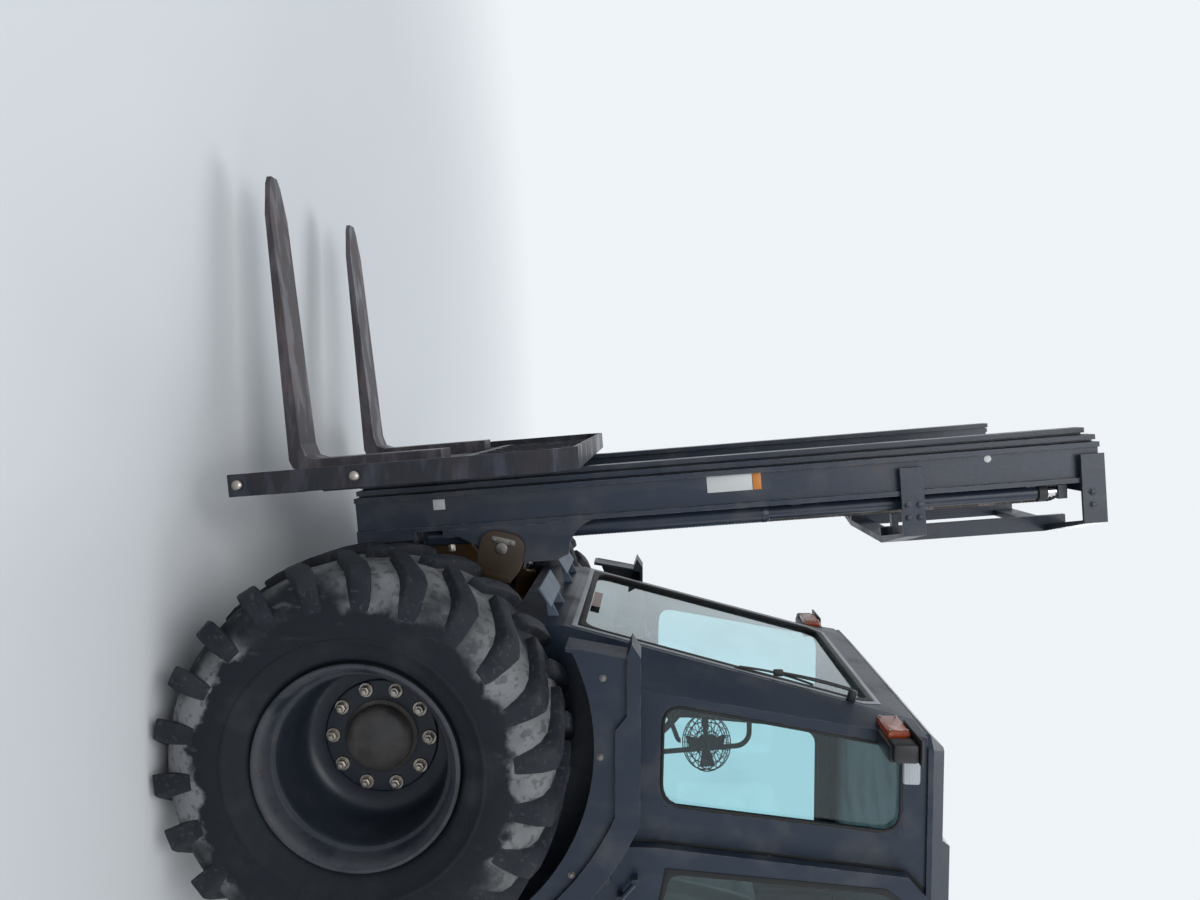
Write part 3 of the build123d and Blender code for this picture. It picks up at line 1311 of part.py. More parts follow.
def build():
    """Make every sub-part."""
    tyre_l, rim_l = front_wheel()
    keep("tyre_front_left", tyre_l)
    keep("tyre_front_right", flip(tyre_l))
    keep("rim_front_left", rim_l)
    keep("rim_front_right", flip(rim_l))
    tyre_l, rim_l = rear_wheel()
    keep("tyre_rear_left", tyre_l)
    keep("tyre_rear_right", flip(tyre_l))
    keep("rim_rear_left", rim_l)
    keep("rim_rear_right", flip(rim_l))
    arm = knuckle()
    keep("knuckle_left", arm)
    keep("knuckle_right", flip(arm))
    keep("track_rod", track_rod())
    keep("rear_axle", rear_axle())
    keep("front_axle", front_axle())
    keep("main_frame", main_frame())
    keep("engine_block", engine())
    keep("counterweight", counterweight())
    keep("rear_grille", grille())
    keep("engine_hood", hood())
    keep("exhaust_stack", stack())
    tank = side_tank()
    keep("tank_left", tank)
    keep("tank_right", flip(tank))
    keep("cab_floor", cab_floor())
    frame = cab_frame()
    for lug in hinge_lugs():
        frame = fuse(frame, lug, flip(lug))
    keep("cab_frame", frame)
    keep("cab_roof", roof())
    keep("windscreen", windscreen())
    keep("side_windows", *side_windows())
    keep("rear_window", rear_window())
    mudguard = fender()
    keep("fender_left", mudguard)
    keep("fender_right", flip(mudguard))
    panel, pane = door()
    keep("door_left", panel)
    keep("door_right", flip(panel))
    keep("door_glass_left", pane)
    keep("door_glass_right", flip(pane))
    keep("seat", seat())
    keep("seat_base", seat_base())
    keep("dash", dash())
    keep("steering_wheel", steering_wheel())
    keep("cab_fan", fan())
    keep("grab_bar", grab_bars())
    keep("front_plates", *front_plates())
    keep("roof_lamps", *roof_lamps())
    keep("mast_outer", lean(outer_mast()))
    keep("mast_mid", lean(mid_mast()))
    keep("lift_rods", *[lean(rod) for rod in lift_rods()])
    keep("lift_chains", *[lean(chain) for chain in lift_chains()])
    keep("mast_inner", lean(inner_mast()))
    keep("free_lift_rod", lean(free_lift_rod()))
    keep("crosshead", lean(crosshead()))
    keep("free_lift_chains", *[lean(chain) for chain in free_chains()])
    keep("carriage", lean(carriage()))
    keep("backrest", lean(backrest()))
    tine = fork()
    keep("fork_left", lean(tine))
    keep("fork_right", lean(flip(tine)))
    barrel, rod = tilt_cylinder()
    keep("tilt_barrel_left", barrel)
    keep("tilt_barrel_right", flip(barrel))
    keep("tilt_rod_left", rod)
    keep("tilt_rod_right", flip(rod))


build()
LOWEST = min(solid.bounding_box().min.X for solids in PARTS.values() for solid in solids)
HIGHEST = max(solid.bounding_box().max.X for solids in PARTS.values() for solid in solids)
ORIGIN_X = -(LOWEST + HIGHEST) / 2
for name, solids in PARTS.items():
    moved = [Pos(ORIGIN_X, 0, 0) * solid for solid in solids]
    export_step(Compound(children=moved) if len(moved) > 1 else moved[0], f"parts/{name}.step")
print(len(PARTS), "sub-parts, front axle at X", round(ORIGIN_X, 3))
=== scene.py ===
"""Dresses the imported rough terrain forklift: tyres, rims, chains, glass, lamps, cab and finishes."""

import math

import bmesh
import bpy
from mathutils import Matrix, Vector


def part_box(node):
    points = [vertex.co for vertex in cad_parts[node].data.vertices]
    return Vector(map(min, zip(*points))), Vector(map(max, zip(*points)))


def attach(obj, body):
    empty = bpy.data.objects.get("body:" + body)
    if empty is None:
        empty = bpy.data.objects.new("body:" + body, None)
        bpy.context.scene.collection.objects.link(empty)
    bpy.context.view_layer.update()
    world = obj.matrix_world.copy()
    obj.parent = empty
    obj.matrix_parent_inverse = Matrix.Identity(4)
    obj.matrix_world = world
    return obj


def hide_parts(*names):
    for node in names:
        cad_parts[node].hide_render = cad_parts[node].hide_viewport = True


bl_info = {
    "name": "Rough Terrain Forklift",
    "version": (1, 0, 0),
    "blender": (4, 5, 0),
    "location": "View3D > Sidebar > Forklift",
    "description": "Dresses the packed forklift with its tyres, glass, fittings and finishes",
    "category": "Object",
}

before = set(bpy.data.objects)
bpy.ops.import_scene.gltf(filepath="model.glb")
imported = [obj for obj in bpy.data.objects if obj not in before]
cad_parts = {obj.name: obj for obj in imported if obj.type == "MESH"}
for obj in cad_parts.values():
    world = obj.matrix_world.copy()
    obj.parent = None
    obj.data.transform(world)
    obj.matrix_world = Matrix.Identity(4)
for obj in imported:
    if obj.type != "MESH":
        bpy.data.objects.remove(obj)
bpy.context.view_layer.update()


def middle(node):
    """The middle of a CAD node's box."""
    low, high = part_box(node)
    return (low + high) / 2


# Pieces are drawn in metres from the front axle, X to the forks, Y to the left, Z up. Those of
# the mast are drawn upright, from its tilt pin.
FRONT_HUB = middle("tyre_front_left")
REAR_HUB = middle("tyre_rear_left")
BASE = Matrix.Translation((FRONT_HUB.x, 0, 0))
LEAN = math.radians(4.76)
TILT_PIVOT = Vector((0.560, 0, 0.600))
MAST = BASE @ Matrix.Translation(TILT_PIVOT) @ Matrix.Rotation(LEAN, 4, "Y")
MIRROR = Matrix.Diagonal((1, -1, 1, 1))
# Turns that lay a bar drawn up Z along each axis
AXIS_TURN = {"X": (0, math.pi / 2, 0), "Y": (math.pi / 2, 0, 0), "Z": (0, 0, 0)}

# Cab: the windscreen's plane and height, the cab's sides and the outlines of its windows, as its
# solids have them
SCREEN_X = 0.340
SCREEN_Z = 1.267
SCREEN_SLOPE = 0.256
SCREEN_HALF = 0.525
SCREEN_LOW = 1.315
SCREEN_TOP = 2.400
CAB_HALF = 0.720
CAB_REAR = -1.400
DOOR_OUT = 0.760
QUARTER_WINDOW = [(0.116, 1.621), (-0.249, 1.613), (-0.331, 2.440), (-0.020, 2.440)]
DOOR_WINDOW = [
    (-0.455, 1.640), (-0.505, 2.380), (-0.560, 2.450), (-1.240, 2.450), (-1.270, 2.420),
    (-1.270, 1.200), (-1.240, 1.170), (-0.960, 1.170), (-0.880, 1.330), (-0.720, 1.500), (-0.560, 1.620),
]
DOOR_WAY = [
    (-0.367, 1.400), (-0.367, 1.609), (-0.441, 2.455), (-0.519, 2.525), (-1.335, 2.525),
    (-1.335, 1.005), (-0.900, 1.005), (-0.860, 1.140), (-0.700, 1.310),
]
REAR_WINDOW = [(-0.600, 1.760), (-0.600, 2.420), (0.600, 2.420), (0.600, 1.760)]
STICKER = [(-0.090, 1.342), (0.170, 1.342), (0.170, 1.378), (-0.090, 1.378)]
# How far a thin strip lies out of the windscreen's face
ON_GLASS = 0.0003
# The sloping facet of the counterweight, from a lamp's own X across, Y down the slope and Z out
REAR_FACET = Matrix(((0, -0.6, -0.8, -3.225), (1, 0, 0, 0.430), (0, -0.8, 0.6, 1.060), (0, 0, 0, 1)))
SCREEN_OUTLINE = [
    (SCREEN_HALF, SCREEN_LOW), (SCREEN_HALF, SCREEN_TOP - 0.060), (SCREEN_HALF - 0.040, SCREEN_TOP),
    (-SCREEN_HALF + 0.040, SCREEN_TOP), (-SCREEN_HALF, SCREEN_TOP - 0.060), (-SCREEN_HALF, SCREEN_LOW),
]


# Modelling helpers

def clear():
    """Back to object mode with nothing selected."""
    if bpy.context.object and bpy.context.object.mode != "OBJECT":
        bpy.ops.object.mode_set(mode="OBJECT")
    bpy.ops.object.select_all(action="DESELECT")


def only(piece):
    """Select one piece and make it active."""
    clear()
    piece.select_set(True)
    bpy.context.view_layer.objects.active = piece


def link(name, data):
    """A new object in the scene."""
    piece = bpy.data.objects.new(name, data)
    bpy.context.scene.collection.objects.link(piece)
    return piece


def start(kind, name, **where):
    """Add a primitive and put its size and place in its mesh."""
    clear()
    getattr(bpy.ops.mesh, "primitive_" + kind + "_add")(**where)
    piece = bpy.context.object
    piece.name = name
    bpy.ops.object.transform_apply(location=True, rotation=True, scale=True)
    return piece


class Edit:
    """Edit mode on one piece, with nothing picked at first."""

    def __init__(self, piece, kind="FACE"):
        self.piece = piece
        self.kind = kind

    def __enter__(self):
        only(self.piece)
        bpy.ops.object.mode_set(mode="EDIT")
        bpy.ops.mesh.select_mode(type=self.kind)
        bpy.ops.mesh.select_all(action="DESELECT")
        return self

    def __exit__(self, *error):
        bpy.ops.object.mode_set(mode="OBJECT")

    def pick(self, test):
        """Pick the faces whose middle and normal pass a test."""
        bpy.ops.mesh.select_all(action="DESELECT")
        mesh = bmesh.from_edit_mesh(self.piece.data)
        for face in mesh.faces:
            face.select_set(test(face.calc_center_median(), face.normal))
        bmesh.update_edit_mesh(self.piece.data)


def modify(piece, kind, **settings):
    """Add a modifier, set it and apply it."""
    only(piece)
    modifier = piece.modifiers.new(kind.title(), kind)
    for key, value in settings.items():
        setattr(modifier, key, value)
    bpy.ops.object.modifier_apply(modifier=modifier.name)
    return piece


def bevel(piece, width, segments=2, angle=30):
    """Round the sharp edges of a piece."""
    return modify(
        piece, "BEVEL", width=width, segments=segments, limit_method="ANGLE",
        angle_limit=math.radians(angle), use_clamp_overlap=True,
    )


def smooth(piece, angle=35):
    """Smooth shading below an angle."""
    only(piece)
    bpy.ops.object.shade_smooth_by_angle(angle=math.radians(angle))
    return piece


def outward(piece):
    """Merge doubles and turn every face outwards."""
    with Edit(piece, "VERT"):
        bpy.ops.mesh.select_all(action="SELECT")
        bpy.ops.mesh.remove_doubles(threshold=0.00002)
        bpy.ops.mesh.normals_make_consistent(inside=False)
    return piece


def coat(piece, finish):
    """Give a piece a finish in place of any that it has."""
    piece.data.materials.clear()
    piece.data.materials.append(FINISHES[finish])
    return piece


def join(name, pieces):
    """Join pieces into one."""
    clear()
    for piece in pieces:
        piece.select_set(True)
    bpy.context.view_layer.objects.active = pieces[0]
    if len(pieces) > 1:
        bpy.ops.object.join()
    pieces[0].name = name
    return pieces[0]


def copies(name, template, places):
    """One piece from a template copied to each place, each copy with its own mesh."""
    gathered = bmesh.new()
    for place in places:
        mesh = template.data.copy()
        mesh.transform(place)
        if place.determinant() < 0:
            mesh.flip_normals()
        gathered.from_mesh(mesh)
        bpy.data.meshes.remove(mesh)
    mesh = bpy.data.meshes.new(name)
    gathered.to_mesh(mesh)
    gathered.free()
    for finish in template.data.materials:
        mesh.materials.append(finish)
    bpy.data.objects.remove(template)
    return link(name, mesh)


def twin(name, piece):
    """The same piece on the other side of the machine."""
    mesh = piece.data.copy()
    mesh.transform(MIRROR)
    mesh.flip_normals()
    return link(name, mesh)


def both_sides(*places):
    """The same places on both sides of the machine."""
    return [turned @ place for place in places for turned in (Matrix.Identity(4), MIRROR)]


def moved(*at):
    """The place of a piece that is only moved."""
    return Matrix.Translation(at)


def tipped(*at):
    """The place of a piece turned so that its Y points up and its Z to the right side."""
    return Matrix.Translation(at) @ Matrix.Rotation(math.pi / 2, 4, "X")


def put(piece, place):
    """Move a piece's mesh to a place."""
    piece.data.transform(place)
    return piece


def block(name, low, high, edge=0.003):
    """A block between two corners with its edges rounded."""
    size = [b - a for a, b in zip(low, high)]
    at = [(a + b) / 2 for a, b in zip(low, high)]
    piece = start("cube", name, size=1, location=at, scale=size)
    return smooth(bevel(piece, edge))


def round_bar(name, radius, length, at=(0, 0, 0), axis="Z", edge=0.002, sides=40, segments=2):
    """A round bar about its middle with the edges of its ends rounded."""
    bar = start(
        "cylinder", name, vertices=sides, radius=radius, depth=length, rotation=AXIS_TURN[axis], location=at,
    )
    return smooth(bevel(bar, edge, segments))


def lathe(name, profile, steps=48, closed=True):
    """A ring from (radius, offset along Y) points, spun about an axis along Y."""
    mesh = bpy.data.meshes.new(name)
    points = [(radius, along, 0) for radius, along in profile]
    edges = [(i, i + 1) for i in range(len(points) - 1)]
    if closed:
        edges.append((len(points) - 1, 0))
    mesh.from_pydata(points, edges, [])
    piece = link(name, mesh)
    with Edit(piece, "VERT"):
        bpy.ops.mesh.select_all(action="SELECT")
        bpy.ops.mesh.spin(steps=steps, angle=2 * math.pi, center=(0, 0, 0), axis=(0, 1, 0))
    return smooth(outward(piece), 40)


def thicken(piece, thick, edge, angle=30):
    """Extrude a flat piece up Z and round the edges that are sharper than an angle."""
    with Edit(piece):
        bpy.ops.mesh.select_all(action="SELECT")
        bpy.ops.mesh.extrude_region_move(TRANSFORM_OT_translate={"value": (0, 0, thick)})
    outward(piece)
    if edge:
        bevel(piece, edge, angle=angle)
    return smooth(piece)


def slab(name, outline, thick, edge=0.002):
    """A plate cut to an outline of (x, y) points, from z 0 up, with its edges rounded."""
    mesh = bpy.data.meshes.new(name)
    mesh.from_pydata([(x, y, 0) for x, y in outline], [], [list(range(len(outline)))])
    return thicken(link(name, mesh), thick, edge)


def ring_slab(name, outer, inner, thick, edge=0.002):
    """A flat frame between two outlines of as many points, from z 0 up."""
    count = len(outer)
    points = [(x, y, 0) for x, y in outer + inner]
    faces = []
    for i in range(count):
        j = (i + 1) % count
        faces.append((i, j, count + j, count + i))
    mesh = bpy.data.meshes.new(name)
    mesh.from_pydata(points, [], faces)
    return thicken(link(name, mesh), thick, edge, 50)


def pipe(name, points, radius, rounded=True, sides=4):
    """A round bar along a line of points, its ends closed."""
    curve = bpy.data.curves.new(name, "CURVE")
    curve.dimensions = "3D"
    curve.bevel_depth = radius
    curve.bevel_resolution = sides
    curve.use_fill_caps = True
    curve.resolution_u = 8
    spline = curve.splines.new("NURBS" if rounded else "POLY")
    spline.points.add(len(points) - 1)
    for knot, point in zip(spline.points, points):
        knot.co = (*point, 1)
    if rounded:
        spline.order_u = 3
        spline.use_endpoint_u = True
    piece = link(name, curve)
    only(piece)
    bpy.ops.object.convert(target="MESH")
    return smooth(bpy.context.object)


def along(point, direction):
    """The place of a piece drawn up its own Z, at a point and along a direction."""
    turn = Vector(direction).to_track_quat("Z", "Y").to_matrix().to_4x4()
    return Matrix.Translation(point) @ turn


def bolt(name, radius, height, finish, washer=True):
    """A hex bolt head with its washer, drawn up Z from the face that it sits on."""
    head = start("cylinder", name, vertices=6, radius=radius, depth=height, location=(0, 0, height / 2))
    with Edit(head) as edit:
        edit.pick(lambda at, normal: normal.z > 0.9)
        bpy.ops.mesh.inset(thickness=radius * 0.12)
        bpy.ops.transform.translate(value=(0, 0, height * 0.12))
    parts = [smooth(bevel(head, radius * 0.05, 1))]
    if washer:
        ring = start(
            "cylinder", name + "_washer", vertices=20, radius=radius * 1.35,
            depth=height * 0.2, location=(0, 0, height * 0.1),
        )
        parts.append(smooth(bevel(ring, height * 0.05, 1)))
    return coat(join(name, parts), finish)


def offset(outline, distance):
    """An outline moved inwards by a distance, or outwards by a negative one."""
    ends = outline[1:] + outline[:1]
    area = sum(a[0] * b[1] - b[0] * a[1] for a, b in zip(outline, ends))
    side = 1 if area > 0 else -1
    lines = []
    for a, b in zip(outline, ends):
        run = Vector((b[0] - a[0], b[1] - a[1])).normalized()
        shift = Vector((-run.y, run.x)) * distance * side
        lines.append((Vector(a) + shift, run))
    points = []
    for (p, u), (q, v) in zip(lines[-1:] + lines[:-1], lines):
        cross = u.x * v.y - u.y * v.x
        share = ((q.x - p.x) * v.y - (q.y - p.y) * v.x) / cross
        points.append((p.x + u.x * share, p.y + u.y * share))
    return points


def rounded(outline, radius, steps=5):
    """An outline with each corner turned by a curve, with as many points at every corner."""
    points = []
    count = len(outline)
    for i in range(count):
        before, corner, after = (Vector(outline[k % count]) for k in (i - 1, i, i + 1))
        reach = min(radius, 0.45 * (before - corner).length, 0.45 * (after - corner).length)
        first = corner + (before - corner).normalized() * reach
        last = corner + (after - corner).normalized() * reach
        for k in range(steps + 1):
            t = k / steps
            point = first * (1 - t) ** 2 + corner * 2 * t * (1 - t) + last * t ** 2
            points.append((point.x, point.y))
    return points


def settle(piece, body, place=BASE, replaced=()):
    """Put a finished piece in its place, on its body, and hide the CAD nodes that it replaces."""
    piece.data.transform(place)
    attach(piece, body)
    if replaced:
        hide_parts(*replaced)
    return piece


def settle_pair(left, name, bodies, place=BASE, replaced=((), ())):
    """Put a left piece and its twin in their places, each on its body."""
    right = twin(name, left)
    for piece, body, nodes in zip((left, right), bodies, replaced):
        settle(piece, body, place, nodes)


# Finishes

class Value:
    """A shader socket that takes part in sums."""

    def __init__(self, finish, socket):
        self.finish = finish
        self.socket = socket

    def sum(self, operation, first, second):
        return self.finish.node("ShaderNodeMath", {"operation": operation}, {0: first, 1: second})

    def __add__(self, other):
        return self.sum("ADD", self, other)

    def __sub__(self, other):
        return self.sum("SUBTRACT", self, other)

    def __rsub__(self, other):
        return self.sum("SUBTRACT", other, self)

    def __mul__(self, other):
        return self.sum("MULTIPLY", self, other)

    def __pow__(self, other):
        return self.sum("POWER", self, other)

    __radd__ = __add__
    __rmul__ = __mul__


class Finish:
    """A material built from nodes on one Principled shader."""

    def __init__(self, name, rough=0.5, metal=0.0, fixed=None):
        self.material = bpy.data.materials.new(name)
        self.material.use_nodes = True
        self.tree = self.material.node_tree
        self.shader = self.tree.nodes["Principled BSDF"]
        self.shader.inputs["Roughness"].default_value = rough
        self.shader.inputs["Metallic"].default_value = metal
        for key, value in (fixed or {}).items():
            self.shader.inputs[key].default_value = value
        self.here = self.node("ShaderNodeTexCoord", {}, {}, "Object")

    def node(self, kind, settings, sockets, result=0):
        """Add a node with its settings, the values or links of its sockets, and give one result."""
        made = self.tree.nodes.new(kind)
        for key, value in settings.items():
            setattr(made, key, value)
        for key, value in sockets.items():
            if isinstance(value, Value):
                self.tree.links.new(value.socket, made.inputs[key])
            else:
                made.inputs[key].default_value = value
        return Value(self, made.outputs[result])

    def place(self, axis):
        """One coordinate of the surface."""
        return self.node("ShaderNodeSeparateXYZ", {}, {0: self.here}, axis)

    def noise(self, scale, detail=4.0, stretch=None):
        """Cloudy variation at a scale, pulled out along an axis where stretch says."""
        at = self.here
        if stretch:
            at = self.node("ShaderNodeMapping", {}, {"Vector": self.here, "Scale": stretch})
        return self.node("ShaderNodeTexNoise", {}, {"Vector": at, "Scale": scale, "Detail": detail}, 0)

    def cells(self, scale, stretch=(1, 1, 1)):
        """Distance inside small cells, as of pebbled plastic."""
        at = self.node("ShaderNodeMapping", {}, {"Vector": self.here, "Scale": stretch})
        return self.node("ShaderNodeTexVoronoi", {}, {"Vector": at, "Scale": scale}, 0)

    def band(self, value, low, high):
        """0 below low, 1 above high, with a soft step between them."""
        sockets = {"Value": value, "From Min": low, "From Max": high}
        return self.node("ShaderNodeMapRange", {"interpolation_type": "SMOOTHSTEP"}, sockets)

    def blend(self, share, first, second):
        """A colour between two."""
        return self.node("ShaderNodeMix", {"data_type": "RGBA"}, {0: share, 6: first, 7: second}, 2)

    def dot(self, first, second):
        """How far two directions agree."""
        return self.node("ShaderNodeVectorMath", {"operation": "DOT_PRODUCT"}, {0: first, 1: second}, "Value")

    def edges(self, radius):
        """1 along edges and corners and 0 on flats."""
        soft = self.node("ShaderNodeBevel", {"samples": 3}, {"Radius": radius})
        flat = self.node("ShaderNodeNewGeometry", {}, {}, "Normal")
        return self.band(1 - self.dot(soft, flat), 0.02, 0.25)

    def upward(self):
        """1 on faces that look up and 0 on the others."""
        flat = self.node("ShaderNodeNewGeometry", {}, {}, "Normal")
        return self.band(self.dot(flat, (0, 0, 1)), 0.4, 0.95)

    def wear(self, colour=None, rough=None, metal=None):
        """Link what changes over the surface."""
        named = {"Base Color": colour, "Roughness": rough, "Metallic": metal}
        for key, value in named.items():
            if value is not None:
                self.tree.links.new(value.socket, self.shader.inputs[key])

    def relief(self, height, depth, rounding=0.0):
        """Bump from a height in metres, on edges that catch the light as rounded ones do."""
        sockets = {"Height": height, "Distance": depth, "Strength": 1.0}
        if rounding:
            sockets["Normal"] = self.node("ShaderNodeBevel", {"samples": 3}, {"Radius": rounding})
        bump = self.node("ShaderNodeBump", {}, sockets)
        self.tree.links.new(bump.socket, self.shader.inputs["Normal"])


def shade(colour, factor):
    """A lighter or darker colour."""
    return tuple(min(1.0, part * factor) for part in colour[:3]) + (1.0,)


DUST = (0.235, 0.205, 0.170, 1.0)
MUD = (0.176, 0.180, 0.186, 1.0)
# Near black for painted shade on parts that lie in shadow
PAINTED_SHADE = (0.020, 0.016, 0.013, 1.0)
GREY_DUST = (0.120, 0.122, 0.128, 1.0)
RUST = (0.105, 0.055, 0.030, 1.0)
PRIMER = (0.16, 0.14, 0.13, 1.0)
# Near black painted in the guard's holes as the shade seen through them
HOLE_SHADE = (0.004, 0.004, 0.004, 1.0)


def paint(name, colour, dust=0.35, chips=0.5, rough=0.38, bare=PRIMER, shaded=None):
    """Satin machine paint with dust, streaks and chipped edges, and painted shade ahead of a place along X.
    """
    finish = Finish(name, rough=rough, fixed={"Specular IOR Level": 0.32})
    patches = finish.noise(2.3, 5.0)
    dirt = finish.band(finish.noise(6.0, 8.0), 0.46, 0.78)
    streaks = finish.band(finish.noise(14.0, 4.0, (1, 1, 0.12)), 0.52, 0.80)
    lying = finish.upward() * finish.band(finish.noise(11.0, 6.0), 0.10, 0.80)
    worn = finish.edges(0.005) * finish.band(finish.noise(24.0, 5.0), 0.42, 0.60) * chips
    base = finish.blend(patches, shade(colour, 0.82), shade(colour, 1.22))
    dusty = finish.blend((dirt * 0.6 + streaks * 0.3 + lying * 0.4) * dust, base, DUST)
    # Painted shade: ahead of the given place along X, behind a ragged edge, the paint goes most of the way to
    # near black
    if shaded is not None:
        ahead = finish.place("X") + finish.noise(5.0, 7.0) * 0.5
        dusty = finish.blend(finish.band(ahead, shaded, shaded + 0.35) * 0.9, dusty, PAINTED_SHADE)
    finish.wear(
        colour=finish.blend(worn, dusty, bare),
        rough=dirt * 0.20 + lying * 0.20 + (finish.noise(55.0, 2.0) * 0.10 + (rough - 0.05)),
    )
    finish.relief(finish.noise(150.0, 2.0) + worn * -0.6, 0.0004, 0.003)
    return finish.material


def plastic(name, colour, rough=0.55, grain=900.0):
    """Moulded plastic with a fine pebble."""
    finish = Finish(name, rough=rough, fixed={"Specular IOR Level": 0.30})
    dirt = finish.band(finish.noise(9.0, 6.0), 0.45, 0.80)
    base = finish.blend(finish.noise(5.0), shade(colour, 0.85), shade(colour, 1.15))
    finish.wear(colour=finish.blend(dirt * 0.05, base, DUST), rough=dirt * 0.15 + (rough - 0.03))
    finish.relief(finish.cells(grain), 0.00025)
    return finish.material


def worn_steel(name, colour, rust=0.3):
    """Scuffed dark steel with rust and long scratches."""
    finish = Finish(name, rough=0.5, metal=0.55)
    scuffs = finish.band(finish.noise(16.0, 7.0, (0.25, 1, 1)), 0.48, 0.62)
    rusty = finish.band(finish.noise(7.0, 8.0), 0.45, 0.72) * rust
    scratches = finish.band(finish.noise(240.0, 2.0, (0.06, 1, 1)), 0.58, 0.75)
    bright = finish.edges(0.006)
    base = finish.blend(scuffs, shade(colour, 0.75), shade(colour, 1.45))
    browned = finish.blend(rusty, base, RUST)
    finish.wear(
        colour=finish.blend(bright * 0.45 + scratches * 0.20, browned, shade(colour, 2.0)),
        rough=rusty * 0.25 + (0.50 - scuffs * 0.16),
        metal=0.60 - rusty * 0.45,
    )
    finish.relief(scratches * -0.5 + finish.noise(60.0, 5.0), 0.0006, 0.004)
    return finish.material


def bright_steel(name, colour, rough=0.22):
    """Plated steel with a little grime."""
    finish = Finish(name, rough=rough, metal=1.0)
    grime = finish.band(finish.noise(18.0, 6.0), 0.50, 0.80)
    base = finish.blend(finish.noise(4.0), shade(colour, 0.92), shade(colour, 1.05))
    finish.wear(
        colour=finish.blend(grime * 0.6, base, DUST),
        rough=grime * 0.35 + rough,
        metal=1.0 - grime * 0.5,
    )
    finish.relief(finish.noise(300.0, 2.0), 0.0001)
    return finish.material


def cast_iron(name, colour):
    """A painted casting with a coarse skin."""
    finish = Finish(name, rough=0.5)
    dirt = finish.band(finish.noise(5.0, 8.0), 0.45, 0.75)
    lying = finish.upward() * 0.6
    worn = finish.edges(0.012) * finish.band(finish.noise(20.0, 5.0), 0.45, 0.60)
    base = finish.blend(finish.noise(3.0), shade(colour, 0.85), shade(colour, 1.12))
    dusty = finish.blend(dirt * 0.4 + lying * 0.3, base, DUST)
    finish.wear(colour=finish.blend(worn, dusty, RUST), rough=dirt * 0.2 + 0.45)
    finish.relief(finish.noise(70.0, 4.0) + finish.noise(12.0, 3.0), 0.0016, 0.008)
    return finish.material


def from_axle(finish, hub):
    """The distance of the surface from a wheel's axle."""
    across = finish.place("X") - hub.x
    up = finish.place("Z") - hub.z
    return (across * across + up * up) ** 0.5


def tyre_rubber(name, colour, hub, radius, tread, mud):
    """Carcass rubber: dried mud between the lugs, splashed down the shoulder of a dusty wall."""
    finish = Finish(name, rough=0.8, fixed={"Specular IOR Level": 0.22})
    out = from_axle(finish, hub)
    ragged = out + (finish.noise(4.5, 3.0) * 5.0 + finish.noise(20.0, 8.0) * 3.0) * tread
    shoulder = finish.band(ragged, radius - 0.6 * tread, radius + 0.3 * tread)
    patches = finish.band(finish.noise(2.6, 7.0), 0.40, 0.60)
    cracks = finish.band(finish.noise(34.0, 8.0), 0.36, 0.47)
    caked = shoulder * patches * (cracks * 0.45 + 0.55) * mud
    scratches = finish.band(finish.noise(28.0, 9.0, (1, 1, 0.3)), 0.60, 0.68) * 0.35
    wall = finish.band(finish.noise(6.0, 8.0), 0.48, 0.80) * 0.13
    base = finish.blend(finish.noise(40.0, 3.0), shade(colour, 0.8), shade(colour, 1.3))
    upper = finish.band(out, radius - 7 * tread, radius - 2 * tread)
    dusty = finish.blend(wall + scratches * upper, base, GREY_DUST)
    dried = finish.blend(finish.noise(9.0, 7.0), shade(MUD, 0.55), shade(MUD, 1.30))
    finish.wear(colour=finish.blend(caked, dusty, dried), rough=caked * 0.18 + 0.72)
    finish.relief(finish.noise(90.0, 5.0) + caked * (finish.noise(35.0, 6.0) * 3.0 + 1.0), 0.0014)
    return finish.material


def lug_rubber(name, colour):
    """Rubber of the lugs, rubbed clean and dull, with a film of earth."""
    finish = Finish(name, rough=0.7, fixed={"Specular IOR Level": 0.25})
    film = finish.band(finish.noise(9.0, 7.0), 0.40, 0.70)
    nicks = finish.band(finish.noise(60.0, 6.0), 0.58, 0.66)
    base = finish.blend(finish.noise(30.0, 3.0), shade(colour, 0.9), shade(colour, 1.6))
    finish.wear(
        colour=finish.blend(film * 0.12 + nicks * 0.18, base, GREY_DUST),
        rough=film * 0.15 + (0.66 + nicks * 0.1),
    )
    finish.relief(finish.noise(120.0, 5.0) - nicks, 0.0010, 0.006)
    return finish.material


def rim_finish(name, colour, hub, lip):
    """Rim paint, its lip greyed by dust and chipped at the edge."""
    finish = Finish(name, rough=0.42, fixed={"Specular IOR Level": 0.30})
    out = from_axle(finish, hub)
    ragged = out + finish.noise(16.0, 7.0) * 0.030
    edge = finish.band(ragged, lip - 0.050, lip - 0.005) * finish.band(finish.noise(9.0, 6.0), 0.25, 0.60)
    film = finish.band(finish.noise(5.0, 8.0), 0.50, 0.85)
    chips = finish.band(finish.noise(70.0, 4.0), 0.66, 0.70) * edge
    base = finish.blend(finish.noise(4.0, 4.0), shade(colour, 0.85), shade(colour, 1.3))
    dusty = finish.blend(edge * 0.26 + film * 0.08, base, GREY_DUST)
    finish.wear(colour=finish.blend(chips, dusty, RUST), rough=edge * 0.20 + film * 0.18 + 0.36)
    finish.relief(finish.noise(140.0, 3.0) - chips, 0.0004, 0.003)
    return finish.material


def clear_glass(name, colour):
    """Tinted window glass with a film of dust."""
    fixed = {"IOR": 1.45, "Transmission Weight": 1.0, "Specular IOR Level": 0.5}
    finish = Finish(name, rough=0.02, fixed=fixed)
    film = finish.band(finish.noise(3.5, 6.0), 0.45, 0.80)
    finish.wear(colour=finish.blend(film, colour, shade(colour, 0.90)), rough=film * 0.03 + 0.005)
    return finish.material


